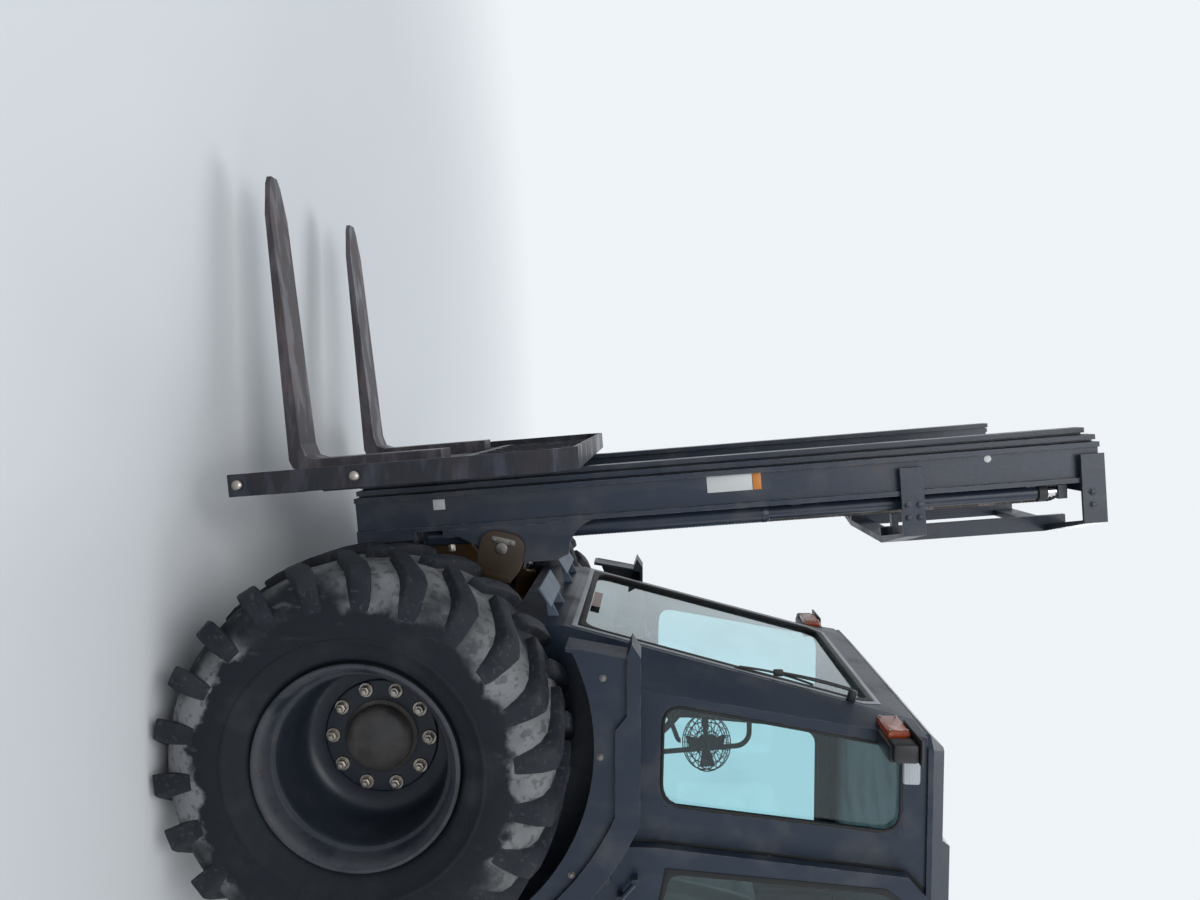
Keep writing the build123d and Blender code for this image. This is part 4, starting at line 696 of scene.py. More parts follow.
def lens(name, colour):
    """A ribbed lamp lens."""
    finish = Finish(name, rough=0.12, fixed={"IOR": 1.49, "Transmission Weight": 0.15})
    sockets = {"Vector": finish.here, "Scale": 60.0, "Distortion": 0.0}
    ribs = finish.node("ShaderNodeTexWave", {"bands_direction": "Z"}, sockets, "Fac")
    finish.wear(
        colour=finish.blend(ribs * 0.5, shade(colour, 0.8), shade(colour, 1.2)),
        rough=finish.noise(30.0) * 0.1 + 0.08,
    )
    finish.relief(ribs, 0.0012)
    return finish.material


def vinyl(name, colour):
    """Seat vinyl with a leather grain and creases."""
    finish = Finish(name, rough=0.45)
    creases = finish.band(finish.noise(10.0, 8.0), 0.52, 0.60)
    rubbed = finish.noise(3.0, 5.0) * 0.5 + creases * 0.15
    finish.wear(
        colour=finish.blend(rubbed, shade(colour, 0.8), shade(colour, 1.8)), rough=creases * 0.10 + 0.42,
    )
    finish.relief(finish.cells(520.0) * 0.6 + creases * 0.4, 0.0005)
    return finish.material


def perforated(name, colour):
    """Black guard metal with rows of holes drawn in its relief and painted near black as the shade inside
    them.
    """
    finish = Finish(name, rough=0.45, metal=0.3)
    holes = finish.band(finish.cells(70.0), 0.28, 0.34)
    finish.wear(colour=finish.blend(holes, HOLE_SHADE, colour), rough=holes * 0.1 + 0.40)
    finish.relief(holes, 0.0015)
    return finish.material


def hot_steel(name, colour):
    """Exhaust steel, browned by heat."""
    finish = Finish(name, rough=0.6, metal=0.4)
    rusty = finish.band(finish.noise(9.0, 8.0), 0.42, 0.66)
    finish.wear(colour=finish.blend(rusty * 0.8, colour, shade(RUST, 1.3)), rough=rusty * 0.2 + 0.55)
    finish.relief(finish.noise(80.0, 5.0), 0.0008, 0.002)
    return finish.material


FINISHES = {}


def make_finishes(colours):
    """Every material, from the colours of the panel."""
    chosen = {key: (*getattr(colours, key), 1.0) for key in COLOUR_NAMES}
    ochre, rubber = chosen["machine_ochre"], chosen["rubber"]
    made = {
        "charcoal": paint("charcoal_paint", chosen["body_paint"], dust=0.20),
        "mast_paint": paint("mast_paint", chosen["mast_paint"], dust=0.25, chips=0.7, rough=0.34),
        # The front plates' light blue-grey is painted sheen, the sky's reflection on them
        "sky_sheen_grey": paint("sky_sheen_grey_paint", (0.075, 0.105, 0.145, 1.0), dust=0.2, chips=0.4, rough=0.42),
        "hub_paint": paint("hub_paint", (0.038, 0.037, 0.038, 1.0), dust=0.55, rough=0.52, bare=RUST),
        # The ochre gets painted shade forward of a line just ahead of the front axle
        "ochre": paint("ochre_paint", ochre, dust=0.45, chips=0.9, bare=RUST, shaded=FRONT_HUB.x + 0.15),
        # The tilt clevises' ochre is cut to 0.30 and darkened further to near black from X -0.10 forwards:
        # painted shade
        "shaded_ochre": paint(
            "shaded_ochre", shade(ochre, 0.30), dust=0.10, chips=0.8, rough=0.46, bare=RUST, shaded=-0.10,
        ),
        # The pins' steel is dark grey in place of plated white: painted shade
        "pins": bright_steel("shaded_pins", (0.17, 0.16, 0.15, 1.0), 0.42),
        "casting": cast_iron("counterweight_casting", ochre),
        "engine": cast_iron("engine_casting", (0.10, 0.10, 0.105, 1.0)),
        "steel": worn_steel("worn_fork_steel", chosen["fork_steel"]),
        # The carriage steel carries a painted blue cast of skylit shade
        "frame_steel": worn_steel("worn_carriage_steel", (0.027, 0.029, 0.038, 1.0), rust=0.10),
        "chain": worn_steel("oiled_chain", (0.060, 0.055, 0.050, 1.0), rust=0.3),
        "chrome": bright_steel("rod_chrome", (0.72, 0.73, 0.75, 1.0), 0.12),
        "zinc": bright_steel("zinc_bolts", (0.36, 0.33, 0.29, 1.0), 0.40),
        "glass": clear_glass("window_glass", chosen["glass_tint"]),
        "seal": plastic("seal_rubber", (0.004, 0.005, 0.006, 1.0), 0.62, 500.0),
        "strip": plastic("window_strip", (0.26, 0.28, 0.30, 1.0), 0.40),
        "black": plastic("black_plastic", (0.018, 0.018, 0.020, 1.0), 0.45),
        "grey": plastic("grey_plastic", (0.070, 0.072, 0.078, 1.0), 0.55),
        "amber": lens("amber_lens", (0.34, 0.055, 0.012, 1.0)),
        "clear_lens": lens("clear_lens", (0.50, 0.53, 0.56, 1.0)),
        "red": lens("red_lens", (0.30, 0.012, 0.010, 1.0)),
        # The blank plates' white and orange are darkened to mid tones by painted shade; the plugs and dials
        # share this white
        "plate": plastic("blank_plate_shaded_white", (0.46, 0.47, 0.47, 1.0), 0.40, 300.0),
        "plate_top": plastic("blank_plate_shaded_orange", (0.46, 0.17, 0.035, 1.0), 0.40, 300.0),
        "sticker": plastic("blank_sticker", (0.300, 0.230, 0.200, 1.0), 0.50, 300.0),
        "vinyl": vinyl("seat_vinyl", (0.020, 0.020, 0.022, 1.0)),
        "guard": perforated("stack_guard", (0.030, 0.029, 0.028, 1.0)),
        "exhaust": hot_steel("exhaust_steel", (0.060, 0.055, 0.052, 1.0)),
        "lug": lug_rubber("lug_rubber", rubber),
    }
    for end, hub in (("front", FRONT_HUB), ("rear", REAR_HUB)):
        size = wheel_sizes(end)
        made[f"{end}_rim"] = rim_finish(f"{end}_rim_paint", chosen["rim_paint"], hub, size["flange"])
        made[f"{end}_rubber"] = tyre_rubber(
            f"{end}_tyre_rubber", rubber, hub, size["radius"], size["lug"], colours.mud,
        )
    FINISHES.update(made)


# Finish of each CAD node that stays
NODE_FINISH = {
    "ochre": "main_frame front_axle rear_axle knuckle_left knuckle_right track_rod engine_hood "
             "tilt_barrel_left tilt_barrel_right",
    "casting": "counterweight",
    "engine": "engine_block",
    "mast_paint": "mast_outer mast_mid mast_inner crosshead",
    "chrome": "lift_rods free_lift_rod",
    "frame_steel": "carriage backrest",
    "steel": "fork_left fork_right",
    "charcoal": "cab_floor cab_frame cab_roof fender_left fender_right door_left door_right tank_left "
                "tank_right",
    "black": "rear_grille seat_base dash grab_bar",
    "sky_sheen_grey": "front_plates",
    "glass": "windscreen side_windows rear_window door_glass_left door_glass_right",
    "exhaust": "exhaust_stack",
}
COLOUR_NAMES = (
    "body_paint", "mast_paint", "rim_paint", "machine_ochre", "fork_steel", "glass_tint", "rubber",
)


class ForkliftColours(bpy.types.PropertyGroup):
    """Colours that a user would change"""

    # Default: dark grey paint with a painted blue cast of skylit shade
    body_paint: bpy.props.FloatVectorProperty(
        name="Body paint", description="Colour of the cab and fenders", subtype="COLOR",
        default=(0.012, 0.020, 0.035),
    )
    # Default: dark grey paint with a painted blue cast of skylit shade
    mast_paint: bpy.props.FloatVectorProperty(
        name="Mast paint", description="Colour of the mast", subtype="COLOR",
        default=(0.015, 0.022, 0.037),
    )
    # Default: dark grey paint with a painted blue cast of skylit shade
    rim_paint: bpy.props.FloatVectorProperty(
        name="Rim paint", description="Colour of the wheel rims", subtype="COLOR",
        default=(0.012, 0.016, 0.024),
    )
    machine_ochre: bpy.props.FloatVectorProperty(
        name="Machine ochre", description="Colour of the chassis and hood", subtype="COLOR",
        default=(0.480, 0.215, 0.030),
    )
    # Default: worn steel with a painted blue cast of skylit shade
    fork_steel: bpy.props.FloatVectorProperty(
        name="Fork steel", description="Colour of the worn fork steel", subtype="COLOR",
        default=(0.068, 0.063, 0.072),
    )
    glass_tint: bpy.props.FloatVectorProperty(
        name="Glass tint", description="Colour of the window glass", subtype="COLOR",
        default=(0.640, 0.860, 0.890),
    )
    # Default: black rubber with a painted blue cast of skylit shade
    rubber: bpy.props.FloatVectorProperty(
        name="Rubber", description="Colour of the tyres", subtype="COLOR",
        default=(0.006, 0.008, 0.012),
    )
    mud: bpy.props.FloatProperty(
        name="Mud", description="Dried mud between the lugs", subtype="FACTOR",
        default=0.95, min=0.0, max=1.0,
    )


class ForkliftSizes(bpy.types.PropertyGroup):
    """Sizes of the added pieces"""

    chain_pitch: bpy.props.FloatProperty(
        name="Chain pitch", description="Distance between the pins of a lift chain", unit="LENGTH",
        default=0.0254,
    )
    seal_width: bpy.props.FloatProperty(
        name="Seal width", description="Width of the windscreen's rubber seal", unit="LENGTH",
        default=0.024,
    )
    lug_edge: bpy.props.FloatProperty(
        name="Lug edge", description="Rounding of the tyre lugs' edges", unit="LENGTH",
        default=0.006,
    )
    louvres: bpy.props.IntProperty(
        name="Louvres", description="Louvres on each side of the hood",
        default=12, min=2,
    )
    bolt: bpy.props.FloatProperty(
        name="Bolt", description="Radius of the fender bolts' heads", unit="LENGTH",
        default=0.009,
    )


# Wheels, with the disc's place from the middle and the number of lugs and of studs
WHEEL_COLUMNS = (
    "radius", "width", "seat", "flange", "rim_half", "disc", "lugs", "lug", "hub", "cap", "circle", "studs",
)
WHEELS = {
    "front": (0.660, 0.495, 0.308, 0.333, 0.207, -0.072, 22, 0.036, 0.112, 0.078, 0.1675, 10),
    "rear": (0.482, 0.300, 0.222, 0.246, 0.120, -0.022, 16, 0.024, 0.068, 0.060, 0.102, 6),
}
# A lug from the middle of the tread outwards: share of the half width, drop of its top in lug
# heights, slant and half widths at top and foot in pitches
LUG_STATIONS = (
    (0.03, 0.00, 0.00, 0.150, 0.200),
    (0.30, 0.00, 0.17, 0.155, 0.205),
    (0.55, 0.04, 0.36, 0.165, 0.215),
    (0.78, 0.16, 0.56, 0.180, 0.230),
    (0.92, 0.55, 0.68, 0.190, 0.240),
    (0.985, 2.00, 0.74, 0.170, 0.220),
)
# The wall of a tyre from its crown to its bead: share of the wall's height, share of half width
WALL = (
    (1.010, 0.00), (1.006, 0.30), (0.995, 0.55), (0.965, 0.73), (0.905, 0.85), (0.82, 0.925),
    (0.70, 0.975), (0.58, 0.993), (0.46, 0.990), (0.36, 0.970), (0.350, 0.978), (0.325, 0.972),
    (0.315, 0.955), (0.22, 0.905),
)
# How far a tyre's bead stands in from the rim's edge
BEAD_IN = 0.0242
# How deep the foot of a lug lies in the carcass, in lug heights
LUG_ROOT = 0.45
NUT_RADIUS = {"front": 0.0185, "rear": 0.0145}
NUT_HEIGHT = 0.022
STUD_RADIUS = 0.0095
STUD_LENGTH = 0.030
STUD_MIDDLE = 0.020
RING_STEPS = 96


def wheel_sizes(end):
    """The sizes of the front or the rear wheel by name."""
    return dict(zip(WHEEL_COLUMNS, WHEELS[end]))


def around(radius, turn, across):
    """A point at a radius and an angle about the wheel's axle, angle 0 pointing down."""
    return (radius * math.sin(turn), across, -radius * math.cos(turn))


def settle_wheels(part, end, hub, left):
    """Put a left wheel's part and its twin on both wheels of one end."""
    right = twin(f"{end}_{part}_right", left)
    for side, sign, piece in (("left", 1, left), ("right", -1, right)):
        place = moved(hub.x, sign * hub.y, hub.z)
        settle(piece, f"wheel_{end}_{side}", place, [f"{part}_{end}_{side}"])


def make_tyre(end, edge):
    """A left tyre about its own centre: a rounded carcass with two rows of curved lugs."""
    size = wheel_sizes(end)
    half = size["width"] / 2
    base = size["radius"] - size["lug"]
    wall = base - size["seat"]
    bead = (size["rim_half"] - BEAD_IN) / half
    shape = list(WALL) + [(0.15, bead + 0.12), (0.105, bead + 0.06), (0.075, bead), (0.002, bead)]
    side = [(size["seat"] + share * wall, across * half) for share, across in shape]
    profile = side + [(radius, -across) for radius, across in reversed(side[1:])]
    carcass = lathe("carcass", profile, steps=RING_STEPS)
    pitch = 2 * math.pi / size["lugs"]
    points = []
    faces = []
    for share, drop, slant, top_half, foot_half in LUG_STATIONS:
        skin = next(
            r0 + (r1 - r0) * (share * half - y0) / (y1 - y0)
            for (r0, y0), (r1, y1) in zip(side, side[1:]) if y0 <= share * half <= y1
        )
        foot = skin - LUG_ROOT * size["lug"]
        top = size["radius"] - drop * size["lug"]
        for radius, width in ((top, -top_half), (top, top_half), (foot, foot_half), (foot, -foot_half)):
            points.append(around(radius, (slant + width) * pitch, share * half))
    for i in range(len(LUG_STATIONS) - 1):
        for j in range(4):
            k = (j + 1) % 4
            faces.append((4 * i + j, 4 * i + k, 4 * i + 4 + k, 4 * i + 4 + j))
    last = 4 * (len(LUG_STATIONS) - 1)
    faces.extend([(3, 2, 1, 0), (last, last + 1, last + 2, last + 3)])
    mesh = bpy.data.meshes.new("lug")
    mesh.from_pydata(points, [], faces)
    lug = outward(link("lug", mesh))
    smooth(bevel(lug, edge * size["lug"] / wheel_sizes("front")["lug"], 2, 40), 50)
    places = []
    for i in range(size["lugs"]):
        places.append(Matrix.Rotation(-i * pitch, 4, "Y"))
        places.append(Matrix.Rotation(-(i + 0.5) * pitch, 4, "Y") @ MIRROR)
    coat(carcass, f"{end}_rubber")
    coat(lug, "lug")
    return join(f"{end}_tyre_left", [carcass, copies("lugs", lug, places)])


class FORKLIFT_OT_tyres(bpy.types.Operator):
    """Four tyres with bar lugs, in place of the plain ones"""

    bl_idname = "forklift.tyres"
    bl_label = "Tyres"

    def execute(self, context):
        edge = context.scene.forklift_sizes.lug_edge
        settle_wheels("tyre", "front", FRONT_HUB, make_tyre("front", edge))
        settle_wheels("tyre", "rear", REAR_HUB, make_tyre("rear", edge))
        return {"FINISHED"}


def make_rim(end):
    """A left rim about its own centre: rolled flanges, dish, hub, cap, studs and nuts."""
    size = wheel_sizes(end)
    seat, flange, half, disc = (size[key] for key in ("seat", "flange", "rim_half", "disc"))
    hub, circle = size["hub"], size["circle"]
    outside = [
        (seat - 0.0003, half - 0.024), (seat + 0.004, half - 0.018), (flange - 0.004, half - 0.010),
        (flange, half - 0.004), (flange, half + 0.003), (flange - 0.004, half + 0.007),
        (flange - 0.012, half + 0.007), (seat + 0.006, half - 0.002),
        (seat - 0.006, half - 0.016), (seat - 0.010, half - 0.050), (seat - 0.015, half - 0.058),
        (seat - 0.028, half - 0.062), (seat - 0.033, half - 0.070), (seat - 0.035, half - 0.082),
        (seat - 0.036, disc + 0.060), (seat - 0.042, disc + 0.030), (seat - 0.058, disc + 0.010),
        (seat - 0.078, disc), (circle + 0.030, disc), (circle + 0.024, disc + 0.006),
        (circle - 0.026, disc + 0.006), (hub + 0.008, disc + 0.004), (hub + 0.008, disc - 0.016),
    ]
    inside = [
        (circle + 0.020, disc - 0.016), (seat - 0.070, disc - 0.016), (seat - 0.030, disc - 0.020),
        (seat - 0.026, disc - 0.045), (seat - 0.018, -half + 0.045), (seat - 0.010, -half + 0.020),
        (flange - 0.010, -half - 0.004),
        (flange, -half), (flange, -half + 0.008), (seat + 0.002, -half + 0.020),
        (seat - 0.0003, -half + 0.024),
    ]
    dish = coat(lathe("dish", outside + inside, steps=RING_STEPS), f"{end}_rim")
    top = disc + size["cap"] - 0.006
    cap_profile = [
        (0, top), (hub * 0.30, top - 0.001), (hub * 0.34, top - 0.004), (hub * 0.72, top - 0.006),
        (hub * 0.80, top - 0.012), (hub * 0.90, top - 0.016), (hub * 0.97, top - 0.026), (hub, top - 0.040),
        (hub, disc + 0.012), (hub + 0.014, disc + 0.008), (hub + 0.014, disc - 0.066), (0, disc - 0.066),
    ]
    cap = coat(lathe("cap", cap_profile, steps=64, closed=False), "hub_paint")
    nut = bolt("nut", NUT_RADIUS[end], NUT_HEIGHT, "zinc")
    stud = coat(round_bar("stud", STUD_RADIUS, STUD_LENGTH, (0, 0, STUD_MIDDLE), sides=16), "zinc")
    cone = lathe("cone", [(0, 0), (0.026, 0), (0.024, 0.006), (0, 0.006)], steps=24, closed=False)
    template = join("stud_nut", [nut, stud, coat(put(cone, tipped(0, 0, 0)), "zinc")])
    places = []
    for i in range(size["studs"]):
        turn = 2 * math.pi * i / size["studs"]
        places.append(along((circle * math.sin(turn), disc + 0.006, circle * math.cos(turn)), (0, 1, 0)))
    nuts = copies("nuts", template, places)
    valve = coat(pipe("valve", [
        (0, disc + 0.03, seat - 0.050), (0, disc + 0.060, seat - 0.052), (0, disc + 0.085, seat - 0.060),
    ], 0.004), "zinc")
    return join(f"{end}_rim_left", [dish, cap, nuts, valve])


class FORKLIFT_OT_rims(bpy.types.Operator):
    """Four dished rims with hubs, studs and nuts"""

    bl_idname = "forklift.rims"
    bl_label = "Rims"

    def execute(self, context):
        settle_wheels("rim", "front", FRONT_HUB, make_rim("front"))
        settle_wheels("rim", "rear", REAR_HUB, make_rim("rear"))
        return {"FINISHED"}


# Chains: their body and CAD node, a sheave's x, y and z, the chain's radius, its front and back end
CHAINS = {
    "lift": ("middle_stage", "lift_chains", 0.064, 0.300, 2.485, 0.056, 0.030, -0.030),
    "free": ("free_lift", "free_lift_chains", 0.200, 0.087, 1.378, 0.046, 0.120, 0.368),
}
CHAIN_WIDTH = 0.034
CHAIN_THICK = 0.012
LEAVES = (-0.0145, -0.0075, 0.0, 0.0075, 0.0145)
LEAF_THICK = 0.0058


def chain_places(x, z, radius, front_end, back_end, pitch):
    """The places of a chain's links: up its front run, over its sheave and down its back run."""
    line = radius - CHAIN_THICK / 2
    front, back, over = z - front_end, z - back_end, math.pi * line
    places = []
    gone = pitch / 2
    while gone < front + over + back - pitch / 2:
        if gone < front:
            at, turn = Vector((x + line, 0, front_end + gone)), 0.0
        elif gone < front + over:
            turn = -(gone - front) / line
            at = Vector((x + line * math.cos(turn), 0, z - line * math.sin(turn)))
        else:
            at, turn = Vector((x - line, 0, z - (gone - front - over))), -math.pi
        places.append(moved(*at) @ Matrix.Rotation(turn, 4, "Y"))
        gone += pitch
    return places


def make_link(pitch):
    """One link of a leaf chain: waisted plates and a pin."""
    half = pitch * 0.5
    reach = CHAIN_THICK * 0.46
    outline = []
    for end in (1, -1):
        for step in range(5):
            turn = math.pi * step / 4
            tip = half * 0.62 + reach * 0.9 * math.sin(turn)
            outline.append((end * reach * math.cos(turn), end * tip))
        outline.append((-end * reach * 0.70, 0))
    parts = []
    for across in LEAVES:
        parts.append(put(slab("leaf", outline, LEAF_THICK, 0.0), tipped(0, across + LEAF_THICK / 2, 0)))
    parts.append(start(
        "cylinder", "pin", vertices=8, radius=0.003, depth=CHAIN_WIDTH, rotation=AXIS_TURN["Y"],
        location=(0, 0, half),
    ))
    return coat(smooth(join("link", parts)), "chain")


class FORKLIFT_OT_chains(bpy.types.Operator):
    """Leaf chains over the mast's sheaves, and the flanged sheaves"""

    bl_idname = "forklift.chains"
    bl_label = "Chains"

    def execute(self, context):
        pitch = context.scene.forklift_sizes.chain_pitch
        for kind, (body, node, x, y, z, radius, front_end, back_end) in CHAINS.items():
            places = []
            for place in chain_places(x, z, radius, front_end, back_end, pitch):
                places.extend([moved(0, y, 0) @ place, moved(0, -y, 0) @ place])
            settle(copies(f"{kind}_leaf_chains", make_link(pitch), places), body, MAST, [node])
            inner = radius - CHAIN_THICK
            flange = lathe("flange", [
                (0.014, 0.0175), (inner - 0.004, 0.0175), (inner + 0.010, 0.0180), (inner + 0.010, 0.0215),
                (inner - 0.006, 0.0235), (0.020, 0.0235), (0.020, 0.0265), (0.014, 0.0265),
            ], steps=40)
            coat(flange, "frame_steel")
            spots = []
            for across in (y, -y):
                spots.extend([moved(x, across, z), moved(x, across, z) @ MIRROR])
            settle(copies(f"{kind}_sheave_flanges", flange, spots), body, MAST)
        return {"FINISHED"}


def screen_place(out):
    """The windscreen's plane: an outline's (y, z) points go to it at a distance out of its face."""
    run = math.hypot(1, SCREEN_SLOPE)
    normal = Vector((1 / run, 0, SCREEN_SLOPE / run))
    return Matrix((
        (0, -SCREEN_SLOPE, normal.x, SCREEN_X + SCREEN_SLOPE * SCREEN_Z + normal.x * out),
        (1, 0, normal.y, 0),
        (0, 1, normal.z, normal.z * out),
        (0, 0, 0, 1),
    ))


def side_place(across):
    """A side window's plane: an outline's (x, z) points go to it at a distance from the middle."""
    return Matrix(((1, 0, 0, 0), (0, 0, -1, across), (0, 1, 0, 0), (0, 0, 0, 1)))


def rear_place(x):
    """The rear window's plane: an outline's (y, z) points go to it."""
    return Matrix(((0, 0, 1, x), (1, 0, 0, 0), (0, 1, 0, 0), (0, 0, 0, 1)))


def frame_ring(name, outline, grow, shrink, corner, thick, place, finish, edge=0.003, turn=0.006):
    """A ring round a window, from outside its outline to inside it, with rounded corners."""
    outer = rounded(offset(outline, -grow), turn)
    inner = rounded(offset(outline, shrink), corner)
    return coat(outward(put(ring_slab(name, outer, inner, thick, edge), place)), finish)


class FORKLIFT_OT_seals(bpy.types.Operator):
    """Rubber seals and outer strips of every window"""

    bl_idname = "forklift.seals"
    bl_label = "Window seals"

    def execute(self, context):
        width = context.scene.forklift_sizes.seal_width
        screen = [
            frame_ring(
                "screen_seal", SCREEN_OUTLINE, -0.001, width, 0.075, 0.016, screen_place(-0.012), "seal",
            ),
            frame_ring(
                "screen_strip", SCREEN_OUTLINE, 0.022, -0.002, 0.012, 0.0025, screen_place(ON_GLASS), "strip",
                0.001,
            ),
            coat(put(slab("blank_sticker", STICKER, 0.0006, 0.0), screen_place(ON_GLASS)), "sticker"),
        ]
        settle(join("windscreen_seal", screen), "chassis", BASE)
        quarter = frame_ring(
            "quarter_seal", QUARTER_WINDOW, -0.001, 0.012, 0.070, 0.010, side_place(CAB_HALF + 0.0025),
            "seal", turn=0.082,
        )
        corners = frame_ring(
            "quarter_corners", QUARTER_WINDOW, 0.004, 0.004, 0.080, 0.010, side_place(CAB_HALF - 0.0005),
            "charcoal", 0.001,
        )
        door_way = frame_ring(
            "door_way_seal", DOOR_WAY, 0.002, 0.022, 0.030, 0.016, side_place(CAB_HALF - 0.001), "seal",
        )
        left = join("cab_seals_left", [quarter, corners, door_way])
        settle_pair(left, "cab_seals_right", ("chassis", "chassis"))
        rear = frame_ring(
            "rear_window_seal", REAR_WINDOW, 0.010, 0.012, 0.070, 0.030, rear_place(CAB_REAR - 0.003), "seal",
        )
        settle(rear, "chassis", BASE)
        left = frame_ring(
            "door_seal_left", DOOR_WINDOW, 0.008, 0.012, 0.045, 0.010, side_place(DOOR_OUT + 0.003), "seal",
        )
        settle_pair(left, "door_seal_right", ("left_door", "right_door"))
        return {"FINISHED"}


def on_screen(y, z, out):
    """A point at a distance out of the windscreen's face."""
    run = math.hypot(1, SCREEN_SLOPE)
    return (SCREEN_X - SCREEN_SLOPE * (z - SCREEN_Z) + out / run, y, z + out * SCREEN_SLOPE / run)


# Windscreen wiper: its pivot across and up, then points across, up and out from the glass
WIPER_Y = 0.552
WIPER_Z = 2.300
WIPER_ARM = 0.0045
WIPER_YOKE = (
    (0.540, 1.900, 0.012), (0.534, 1.970, 0.020), (0.528, 2.037, 0.022), (0.523, 2.100, 0.020),
    (0.518, 2.170, 0.012),
)
WIPER_KNOB = (0.527, 2.040, 0.024)
BLADE_LOW = (0.541, 1.884, 0.004)
BLADE_HIGH = (0.516, 2.190, 0.004)
BLADE_LENGTH = 0.305


class FORKLIFT_OT_wiper(bpy.types.Operator):
    """The windscreen wiper: its motor's spindle, twin arms and blade"""

    bl_idname = "forklift.wiper"
    bl_label = "Wiper"

    def execute(self, context):
        spindle = start("cylinder", "wiper_spindle", vertices=24, radius=0.016, depth=0.040)
        bevel(spindle, 0.004)
        put(spindle, along(on_screen(WIPER_Y, WIPER_Z, 0.020), (1, 0, SCREEN_SLOPE)))
        parts = [smooth(spindle)]
        for shift in (0.0, 0.018):
            y = WIPER_Y - shift
            parts.append(pipe("wiper_arm", [
                on_screen(y, WIPER_Z, 0.036), on_screen(y - 0.006, WIPER_Z - 0.050, 0.038),
                on_screen(y - 0.012, WIPER_Z - 0.170, 0.034),
                on_screen(WIPER_Y - 0.026, WIPER_Z - 0.262, 0.026),
            ], WIPER_ARM))
        knob = block("wiper_knob", (-0.012, -0.010, -0.018), (0.012, 0.010, 0.018), 0.005)
        parts.append(put(knob, moved(*on_screen(*WIPER_KNOB))))
        section = [(-0.004, 0), (0.004, 0), (0.002, 0.012), (-0.002, 0.012)]
        blade = slab("wiper_blade", section, BLADE_LENGTH, 0.0008)
        run = Vector(on_screen(*BLADE_HIGH)) - Vector(on_screen(*BLADE_LOW))
        parts.append(put(blade, along(on_screen(*BLADE_LOW), run) @ Matrix.Rotation(math.pi, 4, "Z")))
        parts.append(pipe("wiper_yoke", [on_screen(*point) for point in WIPER_YOKE], WIPER_ARM))
        settle(coat(join("wiper", parts), "black"), "chassis", BASE)
        return {"FINISHED"}


# Blocks of a left corner lamp and of a left rear lamp: name, finish, low and high corner, edge
CORNER_LAMP = (
    ("holder", "black", (-0.020, 0.640, 2.350), (0.036, 0.868, 2.450), 0.010),
    ("amber", "amber", (0.030, 0.650, 2.360), (0.064, 0.812, 2.438), 0.014),
    ("shell", "black", (-0.014, 0.818, 2.358), (0.050, 0.890, 2.440), 0.012),
    ("brow", "black", (-0.018, 0.700, 2.442), (0.066, 0.897, 2.450), 0.003),
    ("marker", "clear_lens", (-0.150, 0.704, 2.436), (-0.036, 0.734, 2.496), 0.010),
)
REAR_LAMP = (
    ("body", "black", (-0.070, -0.040, -0.004), (0.070, 0.040, 0.010), 0.006),
    ("red", "red", (-0.062, -0.032, 0.006), (-0.002, 0.032, 0.016), 0.003),
    ("turn", "amber", (0.002, -0.032, 0.006), (0.062, 0.032, 0.016), 0.003),
)


def lamp_blocks(table):
    """The blocks of a lamp from its table."""
    return [coat(block(name, low, high, edge), finish) for name, finish, low, high, edge in table]


class FORKLIFT_OT_lamps(bpy.types.Operator):
    """Corner lamps of the cab and the two rear lamps"""

    bl_idname = "forklift.lamps"
    bl_label = "Lamps"

    def execute(self, context):
        screws = copies("screws", bolt("screw", 0.005, 0.003, "zinc", False), [
            along((0.063, y, z), (1, 0, 0)) for y in (0.666, 0.796) for z in (2.371, 2.427)
        ])
        left = join("corner_lamp_left", lamp_blocks(CORNER_LAMP) + [screws])
        settle_pair(
            left, "corner_lamp_right", ("chassis", "chassis"), replaced=(["roof_lamps"], ()),
        )
        left = put(join("rear_lamp_left", lamp_blocks(REAR_LAMP)), REAR_FACET)
        settle_pair(left, "rear_lamp_right", ("chassis", "chassis"))
        return {"FINISHED"}


# Seat: how far a pad swells, a sewn channel's depth and half width, the pads' places
SWELL_LIMIT = 0.010
CHANNEL_DEEP = 0.009
CHANNEL_HALF = 0.007
PAD_CROWN = 0.016
SEAT_LEAN = math.pi / 2 - math.atan2(0.110, 0.540)
CUSHION_PLACE = moved(-0.665, 0, 1.472) @ Matrix.Rotation(math.radians(-3), 4, "Y")
BACK_PLACE = moved(-0.915, 0, 1.785) @ Matrix.Rotation(SEAT_LEAN, 4, "Y")
SHELL_PLACE = moved(-0.948, 0, 1.765) @ Matrix.Rotation(SEAT_LEAN, 4, "Y")


def plump(piece, cap, steps=20):
    """Swell a pad with a cloth simulation, no point further than a cap."""
    modify(piece, "REMESH", mode="VOXEL", voxel_size=0.010)
    before = [vertex.co.copy() for vertex in piece.data.vertices]
    only(piece)
    cloth = piece.modifiers.new("Cloth", "CLOTH")
    cloth.settings.use_pressure = True
    cloth.settings.uniform_pressure_force = 4.0
    cloth.settings.effector_weights.gravity = 0.0
    scene = bpy.context.scene
    for step in range(1, steps + 1):
        scene.frame_set(step)
    bpy.ops.object.modifier_apply(modifier="Cloth")
    scene.frame_set(1)
    for vertex, rest in zip(piece.data.vertices, before):
        swell = vertex.co - rest
        if swell.length > cap:
            vertex.co = rest + swell.normalized() * cap
    return piece


